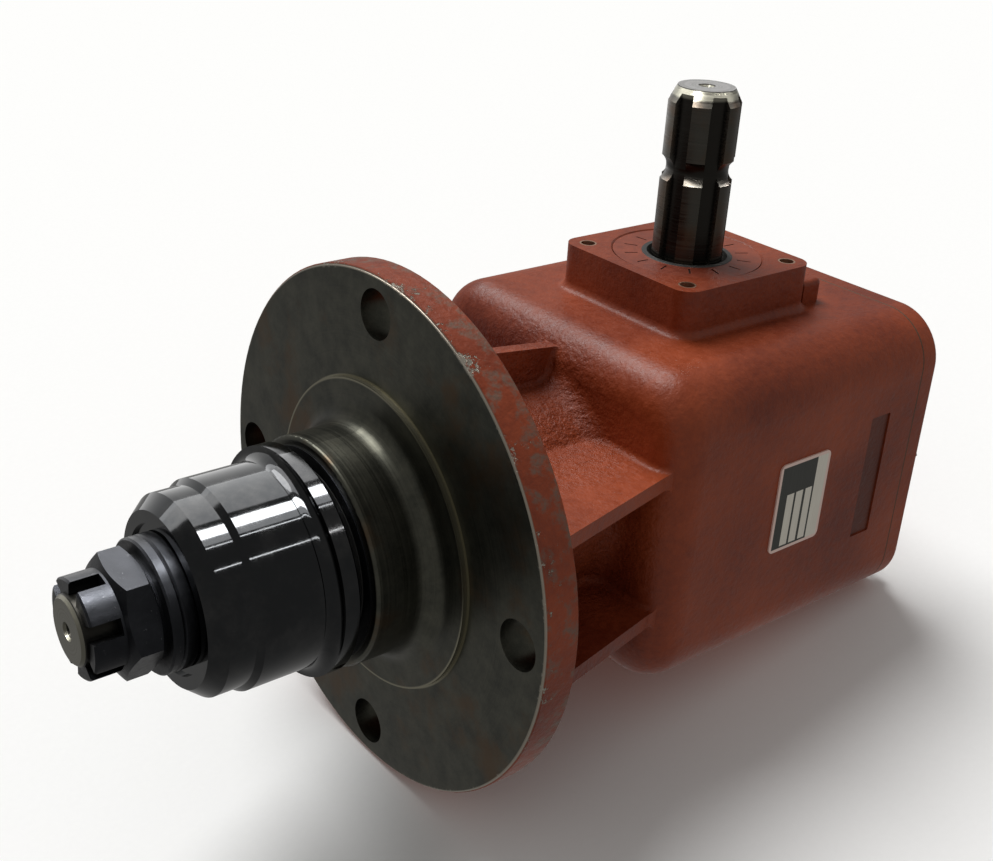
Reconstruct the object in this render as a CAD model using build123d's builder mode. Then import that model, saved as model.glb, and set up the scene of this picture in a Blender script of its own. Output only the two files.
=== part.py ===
"""Right angle bevel gearbox for a rotary mower.

Frame: millimetres, +Z up. The origin is the centre of the mounting flange's front face. The output
shaft lies on the X axis and points along -X. The input shaft stands on the vertical line
x = shaft_offset and points along +Z. The two axes cross at (shaft_offset, 0, 0).
"""

import os
from math import acos, asin, atan, cos, degrees, pi, radians, sin, sqrt, tan

from build123d import *

# --- Shared allowances -------------------------------------------------------------------------
overlap = 1.0  # how far joined solids run into each other, and cutters run past a face
same_place = 0.01  # two sizes closer than this are the same place
break_edge = 1.0  # plain chamfer on shaft ends, plugs and caps

# --- Bearings: bore, outside, assembled width, inner ring width, outer ring width ---------------
small_bearing = dict(bore=35.0, outside=72.0, width=18.25, cone=17.0, cup=15.0, roller=8.4,
                     roller_length=11.0, rollers=16, rib=2.6)
large_bearing = dict(bore=50.0, outside=90.0, width=24.75, cone=23.0, cup=20.0, roller=10.0,
                     roller_length=15.5, rollers=18, rib=3.4)
roller_tilt = 13.5  # roller axis to shaft axis
back_rib_height = 0.24  # as a share of the roller's diameter
front_rib_height = 0.1
roller_gap = 0.05
roller_end_gap = 0.2
cage_t = 1.2
cage_rim = 1.5  # cage ring beyond each roller end
cage_gap = 0.25
bearing_shoulder = 5.0  # radial height of the housing shoulders behind the cups

# --- Gear case -------------------------------------------------------------------------------
shaft_offset = 181.0  # flange face to the input axis
nose_to_axis = 86.0  # front of the gear case to the input axis
axis_to_joint = 82.0  # input axis to the face that carries the cover
case_width = 178.0
case_height = 156.0
case_corner_r = 26.0
nose_edge_r = 18.0
case_wall = 8.0
cavity_nose_r = 10.0

# --- Mounting flange, boss and neck ----------------------------------------------------------
flange_d = 240.0
flange_t = 17.0
flange_edge_chamfer = 1.2
flange_bolt_inset = 17.0  # bolt centre to the flange's edge
flange_bolt_circle = flange_d - 2 * flange_bolt_inset
flange_bolt_count = 4
flange_bolt_d = 22.0
raised_disc_t = 2.5
output_seal_d = large_bearing["outside"] + 5.0
boss_wall = 4.0  # round the output seal
boss_d = output_seal_d + 2 * boss_wall
raised_disc_margin = 19.5  # boss to the edge of the raised disc
raised_disc_d = boss_d + 2 * raised_disc_margin
boss_length = 31.0  # flange face to the end of the boss
boss_root_r = 9.0
boss_edge_r = 1.8
neck_wall = 9.0  # round the output bearings
neck_d = large_bearing["outside"] + 2 * neck_wall
neck_nose_fillet = 10.0
neck_flange_fillet = 7.0

# --- Ribs between the flange and the case -----------------------------------------------------
rib_t = 7.0
side_rib_spacing = 70.0  # between the two ribs on one side
side_rib_inset_case = 6.0  # rib's outer edge inside the case's side
side_rib_inset_flange = 19.0  # the same inside the flange's edge
mid_rib_inset_case = 8.0
mid_rib_below_hole = 13.0  # rib's outer edge to the nearest flange hole
side_rib_foot_r = 3.0
mid_rib_foot_r = 2.5

# --- Input pad and lug ------------------------------------------------------------------------
pad_margin = 7.5  # bearing bore to the pad's edge
pad_size = small_bearing["outside"] + 2 * pad_margin
pad_corner_r = 9.0
pad_height = 22.5
pad_foot_fillet = 4.0
pad_hole_inset = 9.5  # hole centre to the pad's edge
pad_hole_spacing = pad_size - 2 * pad_hole_inset
pad_hole_d = 6.8  # tapping size for M8
pad_hole_depth = 16.0
lug_length = 13.0
lug_width = 14.0
lug_height = 12.0
lug_from_pad_edge = 3.0
lug_corner_r = 4.0
lug_top_r = 2.5
bearing_lip = 3.0  # input boss carries on past the upper bearing

# --- Side face details ------------------------------------------------------------------------
plate_length = 35.0
plate_height = 47.0
plate_t = 0.8
plate_corner_r = 3.0
plate_past_axis = 1.0  # centre of the plate beyond the input axis
plate_raise = 3.5  # centre of the plate above the output axis
panel_width = 14.0
panel_height = 66.0
panel_depth = 0.8
panel_past_axis = 55.0
panel_raise = 2.0
panel_corner_r = 1.0
seal_mouth_chamfer = 1.0

# --- Cover, gasket, bolts and plugs -----------------------------------------------------------
gasket_t = 0.8
cover_t = 11.5
cover_edge_r = 3.0
cover_lip_height = 4.0
cover_lip_t = 6.0
cover_lip_gap = 0.4
cover_bolt_d = 8.0
cover_bolt_hole_d = 9.0
cover_bolt_reach = 18.0  # thread length in the case
cover_bolt_head_flats = 13.0
cover_bolt_head_h = 5.3
bolt_boss_r = 9.0
bolt_boss_depth = 24.0
corner_bolt_inset = 17.0  # bolt centre to both edges of the case
edge_bolt_inset = 11.0  # middle bolts to their edge of the case
thread_gap = 0.05
tapped_beyond = 3.0  # tapped hole beyond the bolt's end
plug_thread_d = 18.0
plug_flange_d = 26.0
plug_flange_t = 3.0
plug_hex_flats = 17.0
plug_hex_h = 8.0
plug_washer_t = 1.5
plug_washer_d = 24.0
plug_thread_length = 12.0
cap_edge_r = 2.0
bolt_head_chamfer = 0.8
breather_cap_d = 15.0
breather_cap_h = 7.0
breather_z = 36.0
level_plug_past_axis = 52.0
level_boss_d = 32.0
level_boss_reach = 14.0  # from the case's side, inwards

# --- Shafts and gears -------------------------------------------------------------------------
gear_teeth = 22
pinion_teeth = 15
tooth_module = 5.5
tooth_face = 22.0
pressure_angle = 20.0
tooth_backlash = 0.30
root_depth_factor = 1.25
tooth_root_sink = 1.0  # depth of each tooth's foot inside the blank
tooth_end_step = 0.3  # blank beyond each end of the teeth
flank_steps = 5
gear_hub_d = 62.0
gear_back_web = 8.5
gear_rim_step = 4.0
pinion_nose = 3.0
pinion_shoulder = 7.0
pinion_shoulder_l = 2.0
pinion_behind = 10.5  # gear's pitch circle to the inner bearing
gear_under = 3.0  # pinion's pitch circle to the lower bearing
gear_seat_bottom = 27.0

pto_tip_d = 34.79  # ISO 500 type 1, six splines
pto_root_d = 29.65
pto_tooth_width = 8.69
pto_teeth = 6
pto_length = 80.2  # tip to the top of the pad
pto_tip_chamfer_r = 4.0
pto_tip_chamfer_l = 7.0
pto_groove_from_tip = 38.0
pto_groove_r = 6.8
pto_groove_root_d = 29.4
pto_phase = 39.0
centre_hole_d = 4.0
centre_hole_bottom_r = 0.5
spline_start_below_pad = 5.0
shaft_short_of_bearing = 2.0  # lower end of the input shaft inside its bearing

input_shaft_d = 46.0
gear_seat_root_d = 36.0
gear_seat_tip_d = 42.0
gear_seat_tooth_width = 7.0
gear_seat_teeth = 8
spline_gap = 0.05

# --- Seals, rings and shims ---------------------------------------------------------------------
input_seal_width = 10.0
input_seal_recess = 0.4
input_seal_lip_face_r = 22.0
input_seal_lip_mouth_r = 19.5
seal_case_t = 1.5
seal_running_gap = 0.05
seal_spring_r = 0.9
seal_lip_start = 0.2  # places along the lip, as shares of the seal's width
seal_band_start = 0.45
seal_band_end = 0.55
seal_lip_end = 0.7
seal_collar_proud = 0.3
seal_lip_slope = 1.2
seal_lip_t = 2.0
seal_mark_count = 14  # short moulded grooves round the input seal's face
seal_mark_inner_r = 24.5
seal_mark_l = 6.5
seal_mark_w = 0.9
seal_mark_depth = 0.4
seal_mark_start = 4.0
output_seal_width = 10.0
output_seal_proud = 0.8
output_seal_rim_t = 1.3
output_seal_journal_d = 60.0
output_seal_lip_face_r = 41.0
output_seal_lip_mouth_r = 33.0
snap_ring_t = 2.5
snap_ring_groove = 1.8
snap_ring_radial = 5.0
snap_ring_seat_gap = 0.1
snap_ring_opening = 12.0
shim_radial = 4.0
shim_t = 0.5
end_cap_t = 8.0
end_cap_recess = 1.5
end_cap_wall = 2.5

# --- Output shaft, hub, washers and nut ---------------------------------------------------------
hub_rear = -38.0
hub_front = -99.0
hub_ring_d = 101.5
hub_ring_t = 7.5
hub_groove_r = 5.2
hub_body_d = 90.6
hub_nose_d = 86.0
hub_step_x = -78.5
hub_step_l = 2.5
hub_chamfer_r = 5.5
hub_chamfer_l = 6.5
hub_spline_root_d = 42.0
hub_behind_seal = 2.0  # seal to the hub's rear end
hub_spline_tip_d = 48.0
hub_spline_width = 8.0
hub_spline_teeth = 8
hub_face_recess_d = 64.0
hub_face_recess = 1.5
hub_pilot_length = 20.0
hub_edge = 0.8
hub_groove_depth = 0.8
shaft_end_inside_hub = 3.5
spacer_wall = 5.0
washer_d = 57.0
inner_washer_t = 6.0
outer_washer_t = 5.0
washer_edge = 0.8
washer_bore_gap = 0.3
nut_thread_d = 30.0
nut_flats = 46.0
nut_hex_h = 14.0
nut_collar_t = 1.2
nut_collar_d = 44.0
nut_crown_d = 42.0
nut_crown_h = 13.0
nut_slot_w = 7.0
nut_slot_depth = 12.0
nut_vertex_angle = 38.0  # a corner of the hexagon, from straight up towards -Y
nut_crown_edge = 0.8
tip_beyond_nut = 2.5
tip_chamfer = 1.6

# --- Places worked out from the sizes above -----------------------------------------------------
nose_x = shaft_offset - nose_to_axis
joint_x = shaft_offset + axis_to_joint
cover_x = joint_x + gasket_t
case_half_w = case_width / 2
case_half_h = case_height / 2
pad_top = case_half_h + pad_height
side_rib_reach_case = case_half_w - side_rib_inset_case
side_rib_reach_flange = flange_d / 2 - side_rib_inset_flange
mid_rib_reach_case = case_half_h - mid_rib_inset_case
mid_rib_reach_flange = flange_bolt_circle / 2 - flange_bolt_d / 2 - mid_rib_below_hole

pitch_gear = gear_teeth * tooth_module / 2
pitch_pinion = pinion_teeth * tooth_module / 2
gear_cone = degrees(atan(pitch_gear / pitch_pinion))
pinion_cone = 90 - gear_cone

seal_top = pad_top - input_seal_recess
snap_top = seal_top - input_seal_width
upper_cup_back = snap_top - snap_ring_t - shim_t
upper_cone_back = upper_cup_back - small_bearing["width"]
lower_cone_back = -pitch_pinion - gear_under
lower_cup_back = lower_cone_back - small_bearing["width"]

outer_cone_back = -boss_length + output_seal_width + hub_behind_seal
outer_cup_back = outer_cone_back + large_bearing["width"]
inner_cone_back = shaft_offset - pitch_gear - pinion_behind
inner_cup_back = inner_cone_back - large_bearing["width"]

washer_front = hub_front - inner_washer_t - outer_washer_t + hub_face_recess
nut_front = washer_front - nut_collar_t - nut_hex_h - nut_crown_h
shaft_tip = nut_front - tip_beyond_nut

# Section planes: the first coordinate runs along the shaft, the second is the radius.
output_section = Plane(origin=(0, 0, 0), x_dir=(1, 0, 0), z_dir=(0, -1, 0))
input_section = Plane(origin=(shaft_offset, 0, 0), x_dir=(0, 0, 1), z_dir=(0, 1, 0))


def save(piece, name):
    """Label a finished piece and write its STEP file."""
    piece.part.label = name
    export_step(piece.part, f"parts/{name}.step")


def turn(section, outline):
    """A turned piece: the closed outline of (along, radius) points spun round the section's axis."""
    with BuildPart() as piece:
        with BuildSketch(section):
            with BuildLine():
                Polyline(*outline, close=True)
            make_face()
        revolve(axis=Axis(section.origin, section.x_dir))
    return piece


def ring_outline(start, end, inner_r, outer_r):
    """Outline of a plain ring between two places along its axis."""
    return [(start, inner_r), (end, inner_r), (end, outer_r), (start, outer_r)]


def spline_section(plane, root_r, tip_r, tooth_width, teeth, phase):
    """Straight-sided spline cross-section: a round core with parallel-sided teeth."""
    with BuildSketch(plane) as section:
        Circle(root_r)
        with PolarLocations(0, teeth, start_angle=phase):
            Rectangle(tip_r, tooth_width, align=(Align.MIN, Align.CENTER))
        Circle(tip_r, mode=Mode.INTERSECT)
    return section


# --- Housing ------------------------------------------------------------------------------------
def case_outline(plane, margin=0.0):
    """The gear case's rounded rectangle, drawn in by a margin all round."""
    with BuildSketch(plane) as outline:
        RectangleRounded(case_width - 2 * margin, case_height - 2 * margin, case_corner_r - margin)
    return outline


def front_boss():
    """Raised disc and boss in front of the flange, as one turned solid with a round foot."""
    disc = -raised_disc_t
    with BuildPart() as boss:
        with BuildSketch(output_section):
            with BuildLine():
                Polyline(
                    (disc, boss_d / 2 + boss_root_r),
                    (disc, raised_disc_d / 2),
                    (overlap, raised_disc_d / 2),
                    (overlap, 0),
                    (-boss_length, 0),
                    (-boss_length, boss_d / 2 - boss_edge_r),
                )
                RadiusArc(
                    (-boss_length, boss_d / 2 - boss_edge_r),
                    (-boss_length + boss_edge_r, boss_d / 2),
                    boss_edge_r,
                )
                Line((-boss_length + boss_edge_r, boss_d / 2), (disc - boss_root_r, boss_d / 2))
                RadiusArc(
                    (disc - boss_root_r, boss_d / 2),
                    (disc, boss_d / 2 + boss_root_r),
                    -boss_root_r,
                )
            make_face()
        revolve(axis=Axis.X)
    return boss


def rib(plane, reach_flange, reach_case):
    """Flat rib from the flange to the case, in a plane whose first direction is X."""
    rib_end = nose_x + nose_edge_r
    with BuildPart() as web:
        with BuildSketch(plane):
            with BuildLine():
                Polyline(
                    (flange_t - overlap, 0),
                    (flange_t - overlap, reach_flange),
                    (nose_x, reach_case),
                    (rib_end, reach_case),
                    (rib_end, 0),
                    close=True,
                )
            make_face()
        extrude(amount=rib_t / 2, both=True)
    return web


def all_ribs():
    """Two level ribs on each side of the neck, and one upright rib above and below it."""
    ribs = []
    for side in (-1, 1):
        for height in (-side_rib_spacing / 2, side_rib_spacing / 2):
            level = Plane.XY.offset(height)
            ribs.append(rib(level, side * side_rib_reach_flange, side * side_rib_reach_case))
        ribs.append(rib(Plane.XZ, side * mid_rib_reach_flange, side * mid_rib_reach_case))
    return ribs


def foot_edges(casting, across_rib, outwards, height):
    """Edges where one side of a pair of ribs meets the flange, the neck and the case.

    The side lies at a height along across_rib. The rib's own outer edges, which are straight and
    run from the flange to the case outside the neck, are left out.
    """

    def is_foot(edge):
        low = edge.bounding_box().min.dot(across_rib)
        high = edge.bounding_box().max.dot(across_rib)
        level = abs(low - height) < same_place and abs(high - height) < same_place
        lengthwise = edge.geom_type == GeomType.LINE and abs(edge.tangent_at(0.5).X) > same_place
        outer = lengthwise and abs(edge.center().dot(outwards)) > neck_d / 2
        return level and not outer

    return casting.edges().filter_by(is_foot)


def make_lug():
    """Small block beside the pad, with its free corners and top edges rounded."""
    pad_side = shaft_offset + pad_size / 2
    with BuildPart() as lug:
        with BuildSketch(Plane.XY.offset(case_half_h - overlap)):
            with Locations((pad_side - overlap, -pad_size / 2 + lug_from_pad_edge)):
                Rectangle(lug_length + overlap, lug_width, align=(Align.MIN, Align.MIN))
        extrude(amount=lug_height + overlap)
        fillet(lug.edges().filter_by(Axis.Z).group_by(Axis.X)[-1], radius=lug_corner_r)
        top = lug.faces().sort_by(Axis.Z)[-1].edges()
        fillet(top.filter_by(lambda edge: edge.center().X > pad_side), radius=lug_top_r)
    return lug


def case_cavity():
    """The hollow inside the gear case, open at the cover end."""
    with BuildPart() as cavity:
        extrude(
            case_outline(Plane.YZ.offset(nose_x + case_wall), case_wall).sketch,
            amount=joint_x - nose_x - case_wall,
        )
        fillet(cavity.faces().sort_by(Axis.X)[0].edges(), radius=cavity_nose_r)
    return cavity


def cover_bolt_places():
    """Centres of the cover's bolts as (y, z): four corners, two sides, top and bottom."""
    corner_y = case_half_w - corner_bolt_inset
    corner_z = case_half_h - corner_bolt_inset
    side_y = case_half_w - edge_bolt_inset
    middle_z = case_half_h - edge_bolt_inset
    corners = [(y, z) for y in (-corner_y, corner_y) for z in (-corner_z, corner_z)]
    return corners + [(-side_y, 0), (side_y, 0), (0, -middle_z), (0, middle_z)]


def make_housing():
    """The casting: case, neck, flange, ribs, boss, pad and lug, with its machined bores and holes."""
    boss = front_boss()
    cavity = case_cavity()
    bosses = inner_bosses()
    bores = shaft_bores()
    holes = housing_holes()
    ribs = all_ribs()
    lug = make_lug()
    up = Vector(0, 0, 1)
    left = Vector(0, 1, 0)
    with BuildPart() as housing:
        # Gear case with its rounded nose
        extrude(case_outline(Plane.YZ.offset(nose_x)).sketch, amount=joint_x - nose_x)
        fillet(housing.faces().sort_by(Axis.X)[0].edges(), radius=nose_edge_r)
        # Neck and flange
        with BuildSketch(Plane.YZ.offset(flange_t)):
            Circle(neck_d / 2)
        extrude(amount=nose_x - flange_t)
        neck_end = housing.edges().filter_by(GeomType.CIRCLE).filter_by(
            lambda edge: abs(edge.radius - neck_d / 2) < same_place
            and abs(edge.center().X - nose_x) < same_place
        )
        fillet(neck_end, radius=neck_nose_fillet)
        with BuildSketch(Plane.YZ):
            Circle(flange_d / 2)
        extrude(amount=flange_t)
        rims = housing.edges().filter_by(GeomType.CIRCLE).filter_by(
            lambda edge: abs(edge.radius - flange_d / 2) < same_place
        )
        chamfer(rims, length=flange_edge_chamfer)
        neck_start = housing.edges().filter_by(GeomType.CIRCLE).filter_by(
            lambda edge: abs(edge.radius - neck_d / 2) < same_place
            and abs(edge.center().X - flange_t) < same_place
        )
        fillet(neck_start, radius=neck_flange_fillet)
        # Ribs, with a cast fillet along their feet
        for web in ribs:
            add(web.part)
        for height in (-side_rib_spacing / 2, side_rib_spacing / 2):
            for face in (height - rib_t / 2, height + rib_t / 2):
                feet = foot_edges(housing, up, left, face)
                fillet(feet, radius=side_rib_foot_r)
        for face in (-rib_t / 2, rib_t / 2):
            feet = foot_edges(housing, left, up, face)
            fillet(feet, radius=mid_rib_foot_r)
        # Input pad, with a cast fillet round its foot
        with BuildSketch(Plane.XY.offset(case_half_h - case_wall / 2)):
            with Locations((shaft_offset, 0)):
                RectangleRounded(pad_size, pad_size, pad_corner_r)
        extrude(amount=pad_height + case_wall / 2)
        pad_foot = housing.edges().filter_by(
            lambda edge: abs(edge.center().Z - case_half_h) < same_place
            and abs(edge.center().X - shaft_offset) < pad_size / 2 + same_place
            and abs(edge.center().Y) < pad_size / 2 + same_place
            and edge.bounding_box().size.Z < same_place
        )
        fillet(pad_foot, radius=pad_foot_fillet)
        add(boss.part)
        add(lug.part)
        # Hollow of the case, then the bosses that stand in it and everything that is cut
        add(cavity.part, mode=Mode.SUBTRACT)
        add(bosses.part)
        add(bores.part, mode=Mode.SUBTRACT)
        add(holes.part, mode=Mode.SUBTRACT)
    return housing


def inner_bosses():
    """Bosses inside the case round the bearings, the cover's bolts and the level plug."""
    bearing_boss_r = small_bearing["outside"] / 2 + case_wall
    half_wall = case_wall / 2
    with BuildPart() as bosses:
        with BuildSketch(Plane.XY.offset(case_half_h - half_wall)):
            with Locations((shaft_offset, 0)):
                Circle(bearing_boss_r)
        extrude(amount=-(case_half_h - half_wall - upper_cone_back + bearing_lip))
        with BuildSketch(Plane.XY.offset(-case_half_h + half_wall)):
            with Locations((shaft_offset, 0)):
                Circle(bearing_boss_r)
        extrude(amount=case_half_h - half_wall + lower_cone_back)
        with BuildSketch(Plane.YZ.offset(nose_x + half_wall)):
            Circle(neck_d / 2)
        extrude(amount=inner_cone_back - bearing_lip - nose_x - half_wall)
        with BuildSketch(Plane.YZ.offset(joint_x)):
            with Locations(*cover_bolt_places()):
                Circle(bolt_boss_r)
        extrude(amount=-bolt_boss_depth)
        with BuildSketch(Plane.XZ.offset(half_wall - case_half_w)):
            with Locations((shaft_offset + level_plug_past_axis, 0)):
                Circle(level_boss_d / 2)
        extrude(amount=level_boss_reach - half_wall)
    return bosses


def shaft_bores():
    """Everything bored out along the two shafts: bearing seats, seal seats, snap ring grooves."""
    small_seat_r = small_bearing["outside"] / 2
    large_seat_r = large_bearing["outside"] / 2
    groove_r = small_seat_r + snap_ring_groove
    output = turn(
        output_section,
        [
            (-boss_length - overlap, 0),
            (-boss_length - overlap, output_seal_d / 2),
            (-boss_length + output_seal_width, output_seal_d / 2),
            (-boss_length + output_seal_width, large_seat_r),
            (outer_cup_back, large_seat_r),
            (outer_cup_back, large_seat_r - bearing_shoulder),
            (inner_cup_back, large_seat_r - bearing_shoulder),
            (inner_cup_back, large_seat_r),
            (inner_cone_back, large_seat_r),
            (inner_cone_back, 0),
        ],
    )
    upper = turn(
        input_section,
        [
            (upper_cone_back - bearing_lip - overlap, 0),
            (upper_cone_back - bearing_lip - overlap, small_seat_r),
            (snap_top - snap_ring_t, small_seat_r),
            (snap_top - snap_ring_t, groove_r),
            (snap_top, groove_r),
            (snap_top, small_seat_r),
            (pad_top - seal_mouth_chamfer, small_seat_r),
            (pad_top, small_seat_r + seal_mouth_chamfer),
            (pad_top + overlap, small_seat_r + seal_mouth_chamfer),
            (pad_top + overlap, 0),
        ],
    )
    lower_snap_top = lower_cup_back - shim_t
    lower = turn(
        input_section,
        [
            (-case_half_h - overlap, 0),
            (-case_half_h - overlap, small_seat_r),
            (lower_snap_top - snap_ring_t, small_seat_r),
            (lower_snap_top - snap_ring_t, groove_r),
            (lower_snap_top, groove_r),
            (lower_snap_top, small_seat_r),
            (lower_cone_back + overlap, small_seat_r),
            (lower_cone_back + overlap, 0),
        ],
    )
    with BuildPart() as bores:
        add(output.part)
        add(upper.part)
        add(lower.part)
    return bores


def housing_holes():
    """Flange holes, tapped holes, the level plug's hole and the shallow blank panel."""
    with BuildPart() as holes:
        with BuildSketch(Plane.YZ.offset(-overlap)):
            with PolarLocations(flange_bolt_circle / 2, flange_bolt_count):
                Circle(flange_bolt_d / 2)
        extrude(amount=flange_t + 2 * overlap)
        with BuildSketch(Plane.XY.offset(pad_top + overlap)):
            with Locations((shaft_offset, 0)):
                with GridLocations(pad_hole_spacing, pad_hole_spacing, 2, 2):
                    Circle(pad_hole_d / 2)
        extrude(amount=-pad_hole_depth - overlap)
        with BuildSketch(Plane.YZ.offset(joint_x + overlap)):
            with Locations(*cover_bolt_places()):
                Circle(cover_bolt_d / 2 + thread_gap)
        extrude(amount=-(cover_bolt_reach + tapped_beyond + overlap))
        with BuildSketch(Plane.XZ.offset(-case_half_w - overlap)):
            with Locations((shaft_offset + level_plug_past_axis, 0)):
                Circle(plug_thread_d / 2 + thread_gap)
        extrude(amount=level_boss_reach + 2 * overlap)
        with BuildSketch(Plane.XZ.offset(case_half_w + overlap)):
            with Locations((shaft_offset + panel_past_axis, panel_raise)):
                RectangleRounded(panel_width, panel_height, panel_corner_r)
        extrude(amount=-panel_depth - overlap)
    return holes


# --- Cover, gasket, bolts, plugs and plate ------------------------------------------------------
def make_cover():
    """Flat cover with a locating lip, bolt holes and the tapped filler hole."""
    lip_edge = case_wall + cover_lip_gap
    inner_edge = lip_edge + cover_lip_t
    with BuildPart() as cover:
        extrude(case_outline(Plane.YZ.offset(cover_x)).sketch, amount=cover_t)
        fillet(cover.faces().sort_by(Axis.X)[-1].edges(), radius=cover_edge_r)
        with BuildSketch(Plane.YZ.offset(cover_x)):
            RectangleRounded(
                case_width - 2 * lip_edge, case_height - 2 * lip_edge, case_corner_r - lip_edge
            )
            RectangleRounded(
                case_width - 2 * inner_edge,
                case_height - 2 * inner_edge,
                case_corner_r - inner_edge,
                mode=Mode.SUBTRACT,
            )
            with Locations(*cover_bolt_places()):
                Circle(bolt_boss_r + 2 * cover_lip_gap, mode=Mode.SUBTRACT)
        extrude(amount=-cover_lip_height)
        with BuildSketch(Plane.YZ.offset(cover_x + cover_t)):
            with Locations(*cover_bolt_places()):
                Circle(cover_bolt_hole_d / 2)
            with Locations((0, breather_z)):
                Circle(plug_thread_d / 2 + thread_gap)
        extrude(amount=-cover_t - cover_lip_height, mode=Mode.SUBTRACT)
    return cover


def make_gasket():
    """Thin gasket between the case and the cover, with a pad round each bolt."""
    with BuildPart() as gasket:
        with BuildSketch(Plane.YZ.offset(joint_x)):
            RectangleRounded(case_width, case_height, case_corner_r)
            RectangleRounded(
                case_width - 2 * case_wall,
                case_height - 2 * case_wall,
                case_corner_r - case_wall,
                mode=Mode.SUBTRACT,
            )
            with Locations(*cover_bolt_places()):
                Circle(bolt_boss_r)
            with Locations(*cover_bolt_places()):
                Circle(cover_bolt_hole_d / 2, mode=Mode.SUBTRACT)
        extrude(amount=gasket_t)
    return gasket


def make_cover_bolts():
    """The cover's hexagon bolts, one solid each."""
    head_x = cover_x + cover_t
    with BuildPart() as bolts:
        with BuildSketch(Plane.YZ.offset(head_x)):
            with Locations(*cover_bolt_places()):
                RegularPolygon(cover_bolt_head_flats / 2, 6, major_radius=False)
        extrude(amount=cover_bolt_head_h)
        heads = bolts.faces().filter_by(Axis.X).group_by(Axis.X)[-1]
        chamfer(heads.edges(), length=bolt_head_chamfer)
        with BuildSketch(Plane.YZ.offset(head_x)):
            with Locations(*cover_bolt_places()):
                Circle(cover_bolt_d / 2)
        extrude(amount=-(cover_t + gasket_t + cover_bolt_reach))
    return bolts


def plug_outline():
    """Half outline of a plug: thread, sealing flange; the head stands on the flange."""
    return [
        (-plug_thread_length, 0),
        (-plug_thread_length, plug_thread_d / 2 - break_edge),
        (-plug_thread_length + break_edge, plug_thread_d / 2),
        (plug_washer_t, plug_thread_d / 2),
        (plug_washer_t, plug_flange_d / 2),
        (plug_washer_t + plug_flange_t, plug_flange_d / 2),
        (plug_washer_t + plug_flange_t, 0),
    ]


# Planes whose first direction points out of the plug holes
breather_section = Plane(origin=(cover_x + cover_t, 0, breather_z), x_dir=(1, 0, 0), z_dir=(0, -1, 0))
level_section = Plane(
    origin=(shaft_offset + level_plug_past_axis, case_half_w, 0), x_dir=(0, 1, 0), z_dir=(1, 0, 0)
)


def across(section, along):
    """Plane square to a section's axis, at a place along it; its first direction is the radius."""
    return Plane(origin=section.origin, x_dir=section.y_dir, z_dir=section.x_dir).offset(along)


def make_plug(section, cap):
    """Hexagon plug on a flange, with a round vented cap if it is the breather."""
    flange_top = plug_washer_t + plug_flange_t
    body = turn(section, plug_outline())
    with BuildPart() as plug:
        add(body.part)
        with BuildSketch(across(section, flange_top)):
            RegularPolygon(plug_hex_flats / 2, 6, major_radius=False)
        extrude(amount=plug_hex_h)
        if cap:
            with BuildSketch(across(section, flange_top + plug_hex_h)):
                Circle(breather_cap_d / 2)
            extrude(amount=breather_cap_h)
            fillet(plug.faces().sort_by(Axis(section.origin, section.x_dir))[-1].edges(), radius=cap_edge_r)
    return plug


def make_plug_washers():
    """The two plugs' sealing washers."""
    outline = ring_outline(0, plug_washer_t, plug_thread_d / 2 + thread_gap, plug_washer_d / 2)
    first = turn(breather_section, outline)
    second = turn(level_section, outline)
    with BuildPart() as washers:
        add(first.part)
        add(second.part)
    return washers


def make_plate():
    """Thin blank plate on the side face."""
    with BuildPart() as plate:
        with BuildSketch(Plane.XZ.offset(case_half_w)):
            with Locations((shaft_offset + plate_past_axis, plate_raise)):
                RectangleRounded(plate_length, plate_height, plate_corner_r)
        extrude(amount=plate_t)
    return plate


# --- Bearings -----------------------------------------------------------------------------------
def bearing_section(section, cone_back, direction):
    """Section plane that starts at a bearing's cone back face and runs towards its cup's back."""
    start = section.origin + section.x_dir * cone_back
    return Plane(origin=start, x_dir=section.x_dir * direction, z_dir=section.z_dir * direction)


def bearing_lines(size):
    """Roller cone geometry: where the roller sits, its taper and where all its lines meet."""
    middle_r = (size["bore"] + size["outside"]) / 4
    tilt = radians(roller_tilt)
    taper = asin(size["roller"] / 2 * sin(tilt) / middle_r)
    half_length = size["roller_length"] / 2
    back_end = size["rib"] + roller_gap + roller_end_gap
    middle = back_end + half_length * cos(tilt) + size["roller"] / 2 * sin(tilt)
    apex = middle + middle_r / tan(tilt)
    return middle, middle_r, tilt, taper, apex


def make_cup(section, size):
    """Outer ring with its tapered raceway."""
    middle, middle_r, tilt, taper, apex = bearing_lines(size)
    start = size["width"] - size["cup"]
    end = size["width"]
    slope = tan(tilt + taper)
    gap = roller_gap / cos(tilt + taper)
    outer_r = size["outside"] / 2
    return turn(
        section,
        [
            (start, (apex - start) * slope + gap),
            (end, (apex - end) * slope + gap),
            (end, outer_r),
            (start, outer_r),
        ],
    )


def make_cone(section, size):
    """Inner ring with a large rib at its back and a small rib at its front."""
    middle, middle_r, tilt, taper, apex = bearing_lines(size)
    slope = tan(tilt - taper)
    gap = roller_gap / cos(tilt - taper)
    rib_end = size["rib"]
    front = size["cone"]
    front_rib = front - size["rib"] / 2
    race_back = (apex - rib_end) * slope - gap
    race_front = (apex - front_rib) * slope - gap
    return turn(
        section,
        [
            (0, size["bore"] / 2),
            (front, size["bore"] / 2),
            (front, race_front + size["roller"] * front_rib_height),
            (front_rib, race_front + size["roller"] * front_rib_height),
            (front_rib, race_front),
            (rib_end, race_back),
            (rib_end, race_back + size["roller"] * back_rib_height),
            (0, race_back + size["roller"] * back_rib_height),
        ],
    )


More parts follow.
